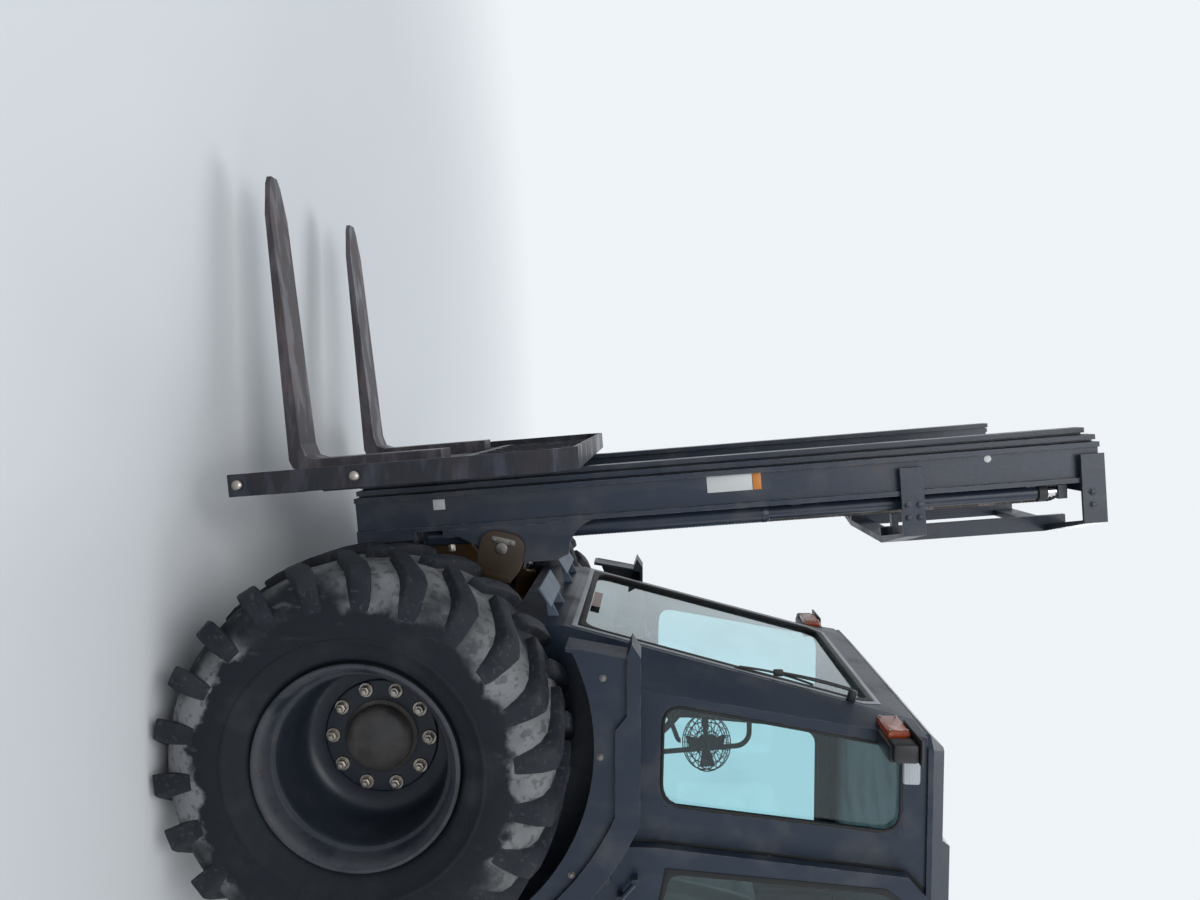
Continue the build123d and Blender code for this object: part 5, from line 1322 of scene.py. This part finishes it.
def make_pad(name, size, channels):
    """A crowned pad about its own middle, its top up, with sewn channels across it."""
    pad = start("cube", name, size=1, scale=size)
    with Edit(pad):
        bpy.ops.mesh.select_all(action="SELECT")
        bpy.ops.mesh.subdivide(number_cuts=24)
    for vertex in pad.data.vertices:
        u = 2 * vertex.co.x / size[0]
        v = 2 * vertex.co.y / size[1]
        if vertex.co.z > 0:
            vertex.co.z += PAD_CROWN * (1 - u ** 4) * (1 - v ** 4)
            bolster = max(0.0, abs(v) - 0.62) / 0.38
            vertex.co.z += 0.8 * PAD_CROWN * math.sin(math.pi * min(1.0, bolster)) * (1 - u ** 4)
        pinch = 1 - 0.05 * (abs(u) ** 6 + abs(v) ** 6) * abs(vertex.co.z) / size[2]
        vertex.co.x *= pinch
        vertex.co.y *= pinch
    bevel(pad, 0.020, 3, 50)
    plump(pad, SWELL_LIMIT)
    for vertex in pad.data.vertices:
        if vertex.co.z > 0 and abs(2 * vertex.co.y / size[1]) < 0.60:
            for at in channels:
                vertex.co.z -= CHANNEL_DEEP * math.exp(-(abs(vertex.co.x - at) / CHANNEL_HALF) ** 2)
    smooth(modify(pad, "SUBSURF", levels=1, render_levels=1), 80)
    return coat(pad, "vinyl")


class FORKLIFT_OT_seat(bpy.types.Operator):
    """The driver's seat: padded cushion and back, and the shell behind the back"""

    bl_idname = "forklift.seat"
    bl_label = "Seat"

    def execute(self, context):
        cushion = make_pad("seat_cushion", (0.440, 0.460, 0.085), (-0.09, 0.0, 0.09))
        settle(cushion, "chassis", BASE @ CUSHION_PLACE, ["seat"])
        back = make_pad("seat_back", (0.520, 0.440, 0.075), (-0.14, -0.05, 0.04, 0.13))
        settle(back, "chassis", BASE @ BACK_PLACE)
        outline = rounded([(-0.24, -0.225), (0.24, -0.225), (0.22, 0.225), (-0.22, 0.225)], 0.05)
        shell = slab("seat_shell", outline, 0.020, 0.006)
        settle(coat(shell, "black"), "chassis", BASE @ SHELL_PLACE)
        return {"FINISHED"}


# Cab fan: the way it blows, its head's place, the line of its stalk, its cage's rings as radius
# and place, and a spoke's line
FAN_BLOWS = (-0.298, -0.751, -0.533)
FAN_HEAD = (-0.155, 0.380, 1.800)
FAN_STALK = (
    (0.100, 0.380, 1.435), (0.100, 0.380, 1.560), (0.080, 0.380, 1.600), (-0.120, 0.380, 1.680),
    (-0.150, 0.380, 1.690), (-0.150, 0.380, 1.700),
)
FAN_RINGS = (
    (0.104, 0.0), (0.098, 0.022), (0.098, -0.022), (0.072, 0.030), (0.072, -0.030), (0.040, 0.032),
    (0.040, -0.032),
)
FAN_SPOKE = (
    (0.030, 0, 0.032), (0.075, 0, 0.031), (0.100, 0, 0.022), (0.106, 0, 0.0), (0.100, 0, -0.022),
    (0.075, 0, -0.031), (0.030, 0, -0.032),
)


def turns(count):
    """Places turned about Z, evenly round a circle."""
    return [Matrix.Rotation(2 * math.pi * i / count, 4, "Z") for i in range(count)]


class FORKLIFT_OT_fan(bpy.types.Operator):
    """The round cab fan: wire cage, blades, motor and bent stalk"""

    bl_idname = "forklift.fan"
    bl_label = "Cab fan"

    def execute(self, context):
        parts = []
        for radius, lift in FAN_RINGS:
            parts.append(start(
                "torus", "cage_ring", major_radius=radius, minor_radius=0.0022, major_segments=48,
                minor_segments=6, location=(0, 0, lift),
            ))
        parts.append(copies("spokes", pipe("spoke", FAN_SPOKE, 0.0014, sides=2), turns(24)))
        parts.append(round_bar("motor", 0.030, 0.060, (0, 0, -0.006), edge=0.006, sides=32))
        outline = rounded([(0.024, -0.012), (0.085, -0.034), (0.090, 0.030), (0.024, 0.016)], 0.014)
        blade = slab("blade", outline, 0.002, 0.0006)
        put(blade, Matrix.Rotation(0.45, 4, "X") @ moved(0, 0, 0.004))
        parts.append(copies("blades", blade, turns(4)))
        head = put(join("fan_head", parts), along(FAN_HEAD, FAN_BLOWS))
        stalk = pipe("fan_stalk", FAN_STALK, 0.009)
        profile = [(0, 0), (0.030, 0), (0.028, 0.008), (0.012, 0.014), (0, 0.014)]
        foot = put(lathe("fan_foot", profile, steps=24, closed=False), tipped(*FAN_STALK[0]))
        fan = coat(join("cab_fan_caged", [head, stalk, foot]), "black")
        settle(fan, "chassis", BASE, ["cab_fan"])
        return {"FINISHED"}


# Controls: foot of the steering column, middle of the wheel, top of the dash, the gauges' hood and
# the places of the dials, levers and pedals
COLUMN_FOOT = Vector((0.080, 0, 1.400))
WHEEL_MIDDLE = Vector((-0.165, 0, 1.655))
DASH_TOP = 1.435
HOOD_PLACE = moved(0.210, 0, DASH_TOP) @ Matrix(((0, 0, -1, 0), (1, 0, 0, 0), (0, 1, 0, 0), (0, 0, 0, 1)))
DIAL_X = 0.160
DIALS = ((-0.045, 0.05), (0.045, 0.05), (0, 0.095))
LEVERS = (-0.250, -0.295, -0.340, -0.385)
PEDALS = (-0.170, 0.150, 0.270)
BOOT = [
    (0, 0), (0.060, 0), (0.052, 0.02), (0.058, 0.03), (0.044, 0.05), (0.048, 0.06), (0.034, 0.085),
    (0, 0.085),
]
LEVER_BOOT = [(0, 0), (0.018, 0), (0.014, 0.010), (0.016, 0.016), (0.008, 0.030), (0, 0.030)]
DIAL = [(0, 0.002), (0.022, 0.002), (0.024, 0.007), (0.027, 0.007), (0.029, 0), (0, 0)]


def grip_knob(name, radius, at, below, stem, segments):
    """A ball with a short stem drawn out of its underside."""
    ball = start("uv_sphere", name, segments=segments, ring_count=12, radius=radius, location=at)
    with Edit(ball) as edit:
        edit.pick(lambda place, normal: normal.z < below)
        bpy.ops.mesh.extrude_region_move(TRANSFORM_OT_translate={"value": stem})
    return smooth(ball, 60)


def steering():
    """The steering wheel on its column, with its boot."""
    rim = start(
        "torus", "wheel_rim", major_radius=0.190, minor_radius=0.0145, major_segments=72, minor_segments=12,
    )
    for vertex in rim.data.vertices:
        if vertex.co.z < 0:
            vertex.co.z += 0.0016 * math.cos(36 * math.atan2(vertex.co.y, vertex.co.x))
    outline = rounded([(0.020, -0.020), (0.185, -0.011), (0.185, 0.011), (0.020, 0.020)], 0.006)
    spoke = put(slab("spoke", outline, 0.010, 0.003), moved(0, 0, -0.008))
    wheel = join("steering_wheel_rim", [
        smooth(rim, 60), copies("spokes", spoke, turns(3)),
        round_bar("boss", 0.042, 0.034, edge=0.008, segments=3),
        grip_knob("knob", 0.021, (0.0, 0.188, 0.036), -0.8, (0, 0, -0.016), 24),
    ])
    lean = WHEEL_MIDDLE - COLUMN_FOOT
    put(wheel, along(WHEEL_MIDDLE, lean))
    line = [WHEEL_MIDDLE, WHEEL_MIDDLE.lerp(COLUMN_FOOT, 0.5), COLUMN_FOOT]
    column = pipe("column", line, 0.026, rounded=False)
    boot = lathe("boot", BOOT, steps=32, closed=False)
    put(boot, along(COLUMN_FOOT + lean * 0.02, lean) @ tipped(0, 0, 0))
    return coat(join("steering_column", [wheel, column, boot]), "black")


class FORKLIFT_OT_controls(bpy.types.Operator):
    """Steering wheel, gauges, levers and pedals"""

    bl_idname = "forklift.controls"
    bl_label = "Controls"

    def execute(self, context):
        settle(steering(), "chassis", BASE, ["steering_wheel"])
        outline = rounded([(-0.10, 0), (0.10, 0), (0.085, 0.13), (-0.085, 0.13)], 0.03)
        parts = [coat(put(slab("gauge_hood", outline, 0.050, 0.008), HOOD_PLACE), "grey")]
        dial = coat(lathe("dial", DIAL, steps=32, closed=False), "plate")
        facing = Matrix.Rotation(math.pi / 2, 4, "Z")
        parts.append(copies("dials", dial, [moved(DIAL_X, y, DASH_TOP + z) @ facing for y, z in DIALS]))
        for y in LEVERS:
            line = [(0.100, y, DASH_TOP), (0.095, y, DASH_TOP + 0.07), (0.070, y, DASH_TOP + 0.16)]
            parts.append(coat(pipe("lever", line, 0.005), "zinc"))
            at = (0.069, y, DASH_TOP + 0.172)
            parts.append(coat(grip_knob("lever_knob", 0.016, at, -0.7, (0.002, 0, -0.012), 20), "black"))
            collar = lathe("lever_boot", LEVER_BOOT, steps=20, closed=False)
            parts.append(coat(put(collar, tipped(0.100, y, DASH_TOP)), "black"))
        settle(join("dash_controls", parts), "chassis", BASE)
        pedals = []
        for y in PEDALS:
            pedals.append(block("pedal", (0.040, y - 0.035, 1.130), (0.052, y + 0.035, 1.220), 0.004))
            pedals.append(pipe("pedal_arm", [(0.046, y, 1.170), (0.056, y, 1.240), (0.062, y, 1.300)], 0.008))
        settle(coat(join("pedals", pedals), "black"), "chassis", BASE)
        return {"FINISHED"}


# Places on the left side, x, y and z: fender bolts in the machine's frame, and in the mast's frame
# the backrest's bolts, the plug near the mast's head and the bolts of its ties
FENDER_BOLTS = ((0.238, 0.850, 1.424), (-0.027, 0.850, 1.415), (-0.430, 0.850, 1.320), (-0.700, 0.850, 1.060))
BACKREST_BOLTS = ((0.339, 0.872, 0.035), (0.339, 0.872, -0.361))
PLUG_AT = (0.206, 0.531, 2.194)
TIE_BOLTS = [(x, 0.557, z) for z in (1.900, 1.940, 2.535) for x in (0.020, 0.065)]
PIVOT_KEEPER = TILT_PIVOT + Vector((0, 0.4362, 0))
DOME = [(0, 0.009), (0.008, 0.008), (0.014, 0.005), (0.0175, 0)]
PLUG = [(0, 0.004), (0.010, 0.004), (0.013, 0.002), (0.013, 0)]
PLATE_IN = 0.5312
PLATE_OUT = 0.5325
# Blank plates on the left mast rail: name, low and high x, low and high z, finish
MAST_PLATES = (
    ("plate_body", 0.160, 0.222, 1.203, 1.365, "plate"),
    ("plate_head", 0.160, 0.222, 1.367, 1.397, "plate_top"),
    ("plate_small", 0.174, 0.212, 0.200, 0.244, "plate"),
)


class FORKLIFT_OT_fittings(bpy.types.Operator):
    """Bolts, pins, caps and blank plates on the mast, carriage and fenders"""

    bl_idname = "forklift.fittings"
    bl_label = "Fittings"

    def execute(self, context):
        outwards = (0, 1, 0)
        head = bolt("fender_bolt", context.scene.forklift_sizes.bolt, 0.007, "pins")
        spots = both_sides(*(along(at, outwards) for at in FENDER_BOLTS))
        settle(copies("fender_bolts", head, spots), "chassis", BASE)
        dome = lathe("dome", DOME, steps=28, closed=False)
        spots = both_sides(*(moved(*at) for at in BACKREST_BOLTS))
        settle(copies("backrest_bolts", coat(dome, "zinc"), spots), "fork_carriage", MAST)
        plug = lathe("plug", PLUG, steps=28, closed=False)
        plates = [copies("plugs", coat(plug, "plate"), both_sides(moved(*PLUG_AT)))]
        for name, x0, x1, z0, z1, finish in MAST_PLATES:
            plates.append(coat(block(name, (x0, PLATE_IN, z0), (x1, PLATE_OUT, z1), 0.0005), finish))
        settle(join("mast_plates", plates), "outer_stage", MAST)
        head = bolt("tie_bolt", 0.010, 0.007, "mast_paint")
        spots = both_sides(*(along(at, outwards) for at in TIE_BOLTS))
        settle(copies("mast_tie_bolts", head, spots), "outer_stage", MAST)
        outline = rounded([(-0.040, -0.013), (0.040, -0.013), (0.040, 0.013), (-0.040, 0.013)], 0.010)
        parts = [coat(slab("keeper", outline, 0.006, 0.001), "mast_paint")]
        for x in (-0.028, 0.028):
            parts.append(put(bolt("keeper_bolt", 0.008, 0.006, "zinc"), moved(x, 0, 0.006)))
        spots = both_sides(along(PIVOT_KEEPER, outwards))
        settle(copies("pivot_keepers", join("keeper", parts), spots), "chassis", BASE)
        return {"FINISHED"}


# Lift cylinders in the mast's frame: place, gland's height, step's height, port's place
LIFT_X = 0.066
LIFT_Y = 0.470
GLAND_Z = 2.378
STEP_Z = 1.400
PORT_X = 0.024
PORT_Z = 0.240
GLAND = [(0.0275, 0), (0.0345, 0.002), (0.0345, 0.030), (0.0290, 0.034), (0.0275, 0.034)]
STEP_COLLAR = [(0.0265, -0.004), (0.0355, -0.004), (0.0355, 0.010), (0.0300, 0.022), (0.0265, 0.022)]


class FORKLIFT_OT_cylinders(bpy.types.Operator):
    """Glands, ports and step collars of the mast's lift cylinders"""

    bl_idname = "forklift.cylinders"
    bl_label = "Cylinder fittings"

    def execute(self, context):
        parts = []
        for y in (LIFT_Y, -LIFT_Y):
            gland = put(lathe("gland", GLAND, steps=40), tipped(LIFT_X, y, GLAND_Z))
            port = round_bar("port", 0.014, 0.030, (PORT_X, y, PORT_Z), "X", sides=6)
            step = put(lathe("step_collar", STEP_COLLAR, steps=40), tipped(LIFT_X, y, STEP_Z))
            parts.append(coat(outward(gland), "black"))
            parts.append(coat(port, "zinc"))
            parts.append(coat(outward(step), "mast_paint"))
        settle(join("lift_cylinder_fittings", parts), "outer_stage", MAST)
        return {"FINISHED"}


# Tilt cylinders: rear pin, front pin, how far out they lie, a clevis's half height, the thickness
# of its cheeks and half the gap between them
TILT_BASE = Vector((-0.200, 0, 0.860))
TILT_PIN = Vector((0.6169, 0, 1.0428))
TILT_Y = 0.540
CLEVIS_HALF = 0.082
CHEEK = 0.016
CHEEK_IN = 0.015
ROD_START = 0.250
ROD_SHORT = 0.350


class FORKLIFT_OT_tilt_rods(bpy.types.Operator):
    """Chromed tilt rods with their clevises, pins and keepers"""

    bl_idname = "forklift.tilt_rods"
    bl_label = "Tilt rods"

    def execute(self, context):
        line = TILT_PIN - TILT_BASE
        long = line.length
        place = moved(*TILT_BASE) @ Matrix.Rotation(-math.atan2(line.z, line.x), 4, "Y")
        high, nose = CLEVIS_HALF, long + 0.060
        outline = [
            (long - 0.120, -high + 0.025), (long - 0.060, -high), (nose - 0.030, -high),
            (nose, -high + 0.035), (nose, high - 0.035), (nose - 0.030, high),
            (long - 0.060, high), (long - 0.120, high - 0.025),
        ]
        parts = []
        for near in (TILT_Y + CHEEK_IN, TILT_Y - CHEEK_IN - CHEEK):
            cheek = slab("cheek", rounded(outline, 0.028, 6), CHEEK, 0.003)
            parts.append(coat(put(cheek, tipped(0, near + CHEEK, 0)), "shaded_ochre"))
        side = CHEEK_IN + CHEEK
        low_corner = (long - 0.120, TILT_Y - side, -high + 0.025)
        high_corner = (long - 0.092, TILT_Y + side, high - 0.025)
        parts.append(coat(block("neck", low_corner, high_corner, 0.006), "shaded_ochre"))
        length = long - ROD_SHORT
        rod = round_bar("rod", 0.024, length, (ROD_START + length / 2, TILT_Y, 0), "X")
        parts.append(coat(rod, "chrome"))
        pin = round_bar("pin", 0.022, 2 * side + 0.006, (long, TILT_Y + 0.003, 0), "Y", 0.003)
        parts.append(coat(pin, "pins"))
        keeper_x, keeper_y = long + 0.028, TILT_Y + side + 0.005
        shape = rounded([(-0.012, -0.044), (0.012, -0.044), (0.012, 0.044), (-0.012, 0.044)], 0.010)
        keeper = put(slab("keeper", shape, 0.005, 0.001), tipped(keeper_x, keeper_y, 0))
        parts.append(coat(keeper, "pins"))
        heads = [along((keeper_x, keeper_y, z), (0, 1, 0)) for z in (-0.032, 0.032)]
        parts.append(copies("keeper_bolts", bolt("keeper_bolt", 0.008, 0.005, "pins", False), heads))
        settle_pair(
            join("tilt_clevis_left", parts), "tilt_clevis_right", ("left_tilt_rod", "right_tilt_rod"),
            BASE @ place, (["tilt_rod_left"], ["tilt_rod_right"]),
        )
        return {"FINISHED"}


# Hood: its side, the first louvre's x, their step and height, the latches' x, the front edge's
# line and the handle's line
HOOD_SIDE = 0.4405
LOUVRE_X = -1.780
LOUVRE_STEP = 0.048
LOUVRE_Z = 1.330
LATCHES = (-1.560, -2.740)
HOOD_EDGE = (
    (-1.427, -0.436, 1.010), (-1.427, -0.436, 1.716), (-1.427, 0.436, 1.716), (-1.427, 0.436, 1.010),
)
HOOD_HANDLE = (
    (-1.500, 0.100, 1.715), (-1.502, 0.095, 1.748), (-1.502, -0.095, 1.748), (-1.500, -0.100, 1.715),
)


class FORKLIFT_OT_hood(bpy.types.Operator):
    """Louvres, latches and edge strips of the engine hood"""

    bl_idname = "forklift.hood"
    bl_label = "Hood fittings"

    def execute(self, context):
        louvre = start("cube", "louvre", size=1, location=(0, 0.007, 0), scale=(0.030, 0.014, 0.210))
        with Edit(louvre) as edit:
            edit.pick(lambda at, normal: normal.y > 0.9)
            bpy.ops.transform.resize(value=(0.42, 1, 0.90), center_override=(0.012, 0.014, 0))
        coat(smooth(bevel(louvre, 0.004)), "ochre")
        count = context.scene.forklift_sizes.louvres
        spots = both_sides(*(moved(LOUVRE_X - LOUVRE_STEP * i, HOOD_SIDE, LOUVRE_Z) for i in range(count)))
        settle(copies("hood_louvres", louvre, spots), "hood", BASE)
        parts = []
        for x in LATCHES:
            parts.append(block("latch", (x - 0.014, HOOD_SIDE, 1.030), (x + 0.014, 0.450, 1.140), 0.004))
            parts.append(round_bar("latch_knob", 0.014, 0.040, (x, 0.452, 1.136), "X", 0.003, 20))
        left = coat(join("hood_latches_left", parts), "black")
        settle_pair(left, "hood_latches_right", ("hood", "hood"))
        edge = pipe("hood_edge", HOOD_EDGE, 0.007, rounded=False)
        handle = pipe("hood_handle", HOOD_HANDLE, 0.007)
        settle(coat(join("hood_edge_strip", [edge, handle]), "seal"), "hood", BASE)
        return {"FINISHED"}


# Exhaust stack: its place, its guard's profile, and its clamps as height and tube radius
STACK_X = -1.560
STACK_Y = -0.535
GUARD = [(0.066, 1.30), (0.071, 1.30), (0.072, 1.31), (0.072, 1.79), (0.071, 1.80), (0.066, 1.80)]
CLAMPS = ((1.200, 0.062), (1.860, 0.062), (1.930, 0.038), (2.300, 0.038))


class FORKLIFT_OT_stack(bpy.types.Operator):
    """The exhaust stack's guard and clamps"""

    bl_idname = "forklift.stack"
    bl_label = "Exhaust stack"

    def execute(self, context):
        parts = [coat(lathe("guard", GUARD, steps=64), "guard")]
        for z, tube in CLAMPS:
            band = lathe("band", [
                (tube + 0.0006, z), (tube + 0.004, z), (tube + 0.005, z + 0.004), (tube + 0.005, z + 0.018),
                (tube + 0.004, z + 0.022), (tube + 0.0006, z + 0.022),
            ], steps=48)
            lug = block("band_lug", (-0.008, z, tube + 0.004), (0.008, z + 0.022, tube + 0.024), 0.002)
            parts.extend([coat(band, "zinc"), coat(lug, "zinc")])
        piece = outward(join("stack_guard", parts))
        settle(piece, "chassis", BASE @ tipped(STACK_X, STACK_Y, 0))
        return {"FINISHED"}


# Left tank: ends along X, inner and outer side, low and high face, and the strap's thickness.
# Its steps: height and how far out they reach.
TANK_REAR = -1.440
TANK_FRONT = -0.905
TANK_IN = 0.300
TANK_OUT = 0.640
TANK_LOW = 0.470
TANK_HIGH = 0.860
STRAP_THICK = 0.004
FILLER = [(0, 0.052), (0.036, 0.050), (0.042, 0.044), (0.042, 0.020), (0.032, 0.018), (0.032, 0)]
STEPS = ((0.550, 0.820), (0.830, 0.760))
GRIP_STEP = 0.030
GRIP_START = 0.660
GRIP_ROWS = 13


class FORKLIFT_OT_tanks(bpy.types.Operator):
    """Filler caps, straps and step treads of the side tanks"""

    bl_idname = "forklift.tanks"
    bl_label = "Tanks and steps"

    def execute(self, context):
        box = [(TANK_IN, TANK_LOW), (TANK_OUT, TANK_LOW), (TANK_OUT, TANK_HIGH), (TANK_IN, TANK_HIGH)]
        section = rounded(box, 0.050, 6)
        outer = rounded(offset(box, -STRAP_THICK), 0.054, 6)
        parts = []
        for x in (TANK_REAR + 0.035, TANK_FRONT - 0.055):
            strap = put(ring_slab("strap", outer, section, 0.030, 0.0), rear_place(x))
            parts.append(coat(outward(strap), "black"))
        cap = lathe("filler", FILLER, steps=40, closed=False)
        parts.append(coat(put(cap, tipped(TANK_REAR + 0.100, 0.520, TANK_HIGH)), "black"))
        stud = coat(start("cone", "grip", vertices=8, radius1=0.006, radius2=0.004, depth=0.004), "zinc")
        spots = []
        for z, reach in STEPS:
            for i in range(GRIP_ROWS):
                for j in range(int((reach - GRIP_START) / GRIP_STEP) + 1):
                    x = TANK_REAR + 0.095 + GRIP_STEP * i
                    spots.append(moved(x, GRIP_START + GRIP_STEP * j, z + 0.002))
        parts.append(copies("grips", stud, spots))
        left = join("tank_fittings_left", parts)
        settle_pair(left, "tank_fittings_right", ("chassis", "chassis"))
        return {"FINISHED"}


# Left door: the line of its inner pull bar and the place of its lock
PULL_BAR = (
    (-0.420, 0.726, 1.990), (-0.428, 0.700, 1.980), (-0.436, 0.690, 1.900), (-0.446, 0.690, 1.720),
    (-0.444, 0.700, 1.600), (-0.440, 0.726, 1.590),
)
LOCK_AT = (-0.490, DOOR_OUT + 0.006, 1.430)


class FORKLIFT_OT_doors(bpy.types.Operator):
    """Door locks and inner pull bars"""

    bl_idname = "forklift.doors"
    bl_label = "Door fittings"

    def execute(self, context):
        bar = pipe("pull_bar", PULL_BAR, 0.010)
        lock = round_bar("lock", 0.018, 0.012, LOCK_AT, "Y", 0.003, 28)
        left = coat(join("door_fittings_left", [bar, lock]), "black")
        settle_pair(left, "door_fittings_right", ("left_door", "right_door"))
        return {"FINISHED"}


class FORKLIFT_OT_finishes(bpy.types.Operator):
    """Give each CAD node that stays its finish"""

    bl_idname = "forklift.finishes"
    bl_label = "Finishes"

    def execute(self, context):
        make_finishes(context.scene.forklift_colours)
        for finish, nodes in NODE_FINISH.items():
            for name in nodes.split():
                coat(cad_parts[name], finish)
        return {"FINISHED"}


# The photograph's camera: place, turn to the rear, dip, roll and focal length in widths
EYE = (1.1222, 3.6044, 1.5617)
YAW = 0.04834
PITCH = 0.05357
ROLL = 0.003527
FOCAL = 850.33 / 1200
SENSOR = 36.0
CLIP_END = 200.0
FLOOR_SIZE = 60.0
FLOOR_Z = -0.001
BACKDROP = (0.86, 0.90, 0.94, 1.0)
FADE_NEAR = 2.5
FADE_FAR = 9.0
# Soft lamps: place, size, power
LAMPS = (
    ((2.5, 5.5, 5.5), 4.5, 260.0),
    ((-6.0, 4.0, 4.5), 4.0, 170.0),
    ((0.0, -4.5, 7.5), 4.5, 240.0),
)
LAMP_AIM = Vector((0, 0, 1.0))
SKY = (0.86, 0.93, 1.0, 1.0)
SKY_LIGHT = 0.55
FLOOR_TONES = ((0.62, 0.64, 0.66, 1.0), (0.66, 0.68, 0.70, 1.0))
SEEN_BY = ("Is Camera Ray", "Is Glossy Ray", "Is Transmission Ray")


def looked_at(finish):
    """1 for rays that see a surface, also in gloss or through glass, and 0 for those that light it."""
    camera, glossy, through = (finish.node("ShaderNodeLightPath", {}, {}, ray) for ray in SEEN_BY)
    return camera.sum("MAXIMUM", camera.sum("MAXIMUM", camera, glossy), through)


def swung(first, second, angle):
    """Two directions at right angles, the first swung towards the second."""
    cosine, sine = math.cos(angle), math.sin(angle)
    return cosine * first + sine * second, cosine * second - sine * first


def turned_camera():
    """The camera's matrix: an upright view with its right side down, as the photograph lies."""
    right, up, ahead = Vector((-1, 0, 0)), Vector((0, 0, 1)), Vector((0, -1, 0))
    ahead, right = swung(ahead, right, YAW)
    up, ahead = swung(up, ahead, PITCH)
    right, up = swung(right, up, ROLL)
    matrix = Matrix((up, -right, -ahead)).transposed().to_4x4()
    return Matrix.Translation(BASE @ Vector(EYE)) @ matrix


def make_floor():
    """A wide pale floor that fades into the backdrop, apart from the light that it throws back."""
    floor = start("plane", "floor", size=FLOOR_SIZE, location=(0, 0, FLOOR_Z))
    ground = Finish("floor_pale", rough=0.9)
    ground.wear(colour=ground.blend(ground.noise(0.8, 3.0), *FLOOR_TONES))
    x, y = ground.place("X"), ground.place("Y")
    far = ground.band((x * x + y * y) ** 0.5, FADE_NEAR, FADE_FAR)
    share = far * looked_at(ground)
    glow = ground.node("ShaderNodeEmission", {}, {"Color": BACKDROP})
    plain = Value(ground, ground.shader.outputs[0])
    mixed = ground.node("ShaderNodeMixShader", {}, {0: share, 1: plain, 2: glow})
    ground.tree.links.new(mixed.socket, ground.tree.nodes["Material Output"].inputs["Surface"])
    FINISHES["floor"] = ground.material
    coat(floor, "floor")


def make_world():
    """The backdrop where it is seen, and soft light from the sky everywhere else."""
    world = bpy.data.worlds.new("studio")
    world.use_nodes = True
    nodes, links = world.node_tree.nodes, world.node_tree.links
    nodes.clear()
    seen, lit = nodes.new("ShaderNodeBackground"), nodes.new("ShaderNodeBackground")
    seen.inputs[0].default_value = BACKDROP
    lit.inputs[0].default_value = SKY
    lit.inputs[1].default_value = SKY_LIGHT
    path, mix = nodes.new("ShaderNodeLightPath"), nodes.new("ShaderNodeMixShader")
    first, second = nodes.new("ShaderNodeMath"), nodes.new("ShaderNodeMath")
    first.operation = second.operation = "MAXIMUM"
    for source, target in (
        (path.outputs[SEEN_BY[0]], first.inputs[0]), (path.outputs[SEEN_BY[1]], first.inputs[1]),
        (first.outputs[0], second.inputs[0]), (path.outputs[SEEN_BY[2]], second.inputs[1]),
        (second.outputs[0], mix.inputs[0]), (lit.outputs[0], mix.inputs[1]), (seen.outputs[0], mix.inputs[2]),
        (mix.outputs[0], nodes.new("ShaderNodeOutputWorld").inputs[0]),
    ):
        links.new(source, target)
    return world


class FORKLIFT_OT_stage(bpy.types.Operator):
    """Floor, backdrop light, lamps and the photograph's camera"""

    bl_idname = "forklift.stage"
    bl_label = "Stage"

    def execute(self, context):
        make_floor()
        context.scene.world = make_world()
        for i, (at, size, power) in enumerate(LAMPS):
            lamp = link(f"lamp_{i}", bpy.data.lights.new(f"lamp_{i}", "AREA"))
            lamp.data.size = size
            lamp.data.energy = power
            lamp.visible_transmission = False
            aim = LAMP_AIM - Vector(at)
            lamp.matrix_world = moved(*at) @ aim.to_track_quat("-Z", "Y").to_matrix().to_4x4()
        camera = link("camera", bpy.data.cameras.new("camera"))
        camera.data.sensor_width = SENSOR
        camera.data.lens = FOCAL * SENSOR
        camera.data.clip_end = CLIP_END
        camera.matrix_world = turned_camera()
        context.scene.camera = camera
        context.scene.view_settings.view_transform = "Standard"
        return {"FINISHED"}


class FORKLIFT_PT_panel(bpy.types.Panel):
    """The forklift's pieces, one button each"""

    bl_idname = "FORKLIFT_PT_panel"
    bl_label = "Forklift"
    bl_space_type = "VIEW_3D"
    bl_region_type = "UI"
    bl_category = "Forklift"

    def draw(self, context):
        for group in (context.scene.forklift_sizes, context.scene.forklift_colours):
            for name in group.__annotations__:
                self.layout.prop(group, name)
        for operator in OPERATORS:
            self.layout.operator(operator.bl_idname)


OPERATORS = (
    FORKLIFT_OT_stage, FORKLIFT_OT_finishes, FORKLIFT_OT_tyres, FORKLIFT_OT_rims, FORKLIFT_OT_chains,
    FORKLIFT_OT_seals, FORKLIFT_OT_wiper, FORKLIFT_OT_lamps, FORKLIFT_OT_seat, FORKLIFT_OT_fan,
    FORKLIFT_OT_controls, FORKLIFT_OT_fittings, FORKLIFT_OT_cylinders, FORKLIFT_OT_tilt_rods,
    FORKLIFT_OT_hood, FORKLIFT_OT_stack, FORKLIFT_OT_tanks, FORKLIFT_OT_doors,
)
CLASSES = (ForkliftColours, ForkliftSizes) + OPERATORS + (FORKLIFT_PT_panel,)


def register():
    """Add the classes and the scene's two groups of settings."""
    for one in CLASSES:
        bpy.utils.register_class(one)
    bpy.types.Scene.forklift_sizes = bpy.props.PointerProperty(type=ForkliftSizes)
    bpy.types.Scene.forklift_colours = bpy.props.PointerProperty(type=ForkliftColours)


def unregister():
    """Take them away again."""
    del bpy.types.Scene.forklift_colours
    del bpy.types.Scene.forklift_sizes
    for one in reversed(CLASSES):
        bpy.utils.unregister_class(one)


def main():
    """Make every piece in order."""
    register()
    for operator in OPERATORS:
        group, name = operator.bl_idname.split(".")
        getattr(getattr(bpy.ops, group), name)()
    clear()


if __name__ == "__main__":
    main()
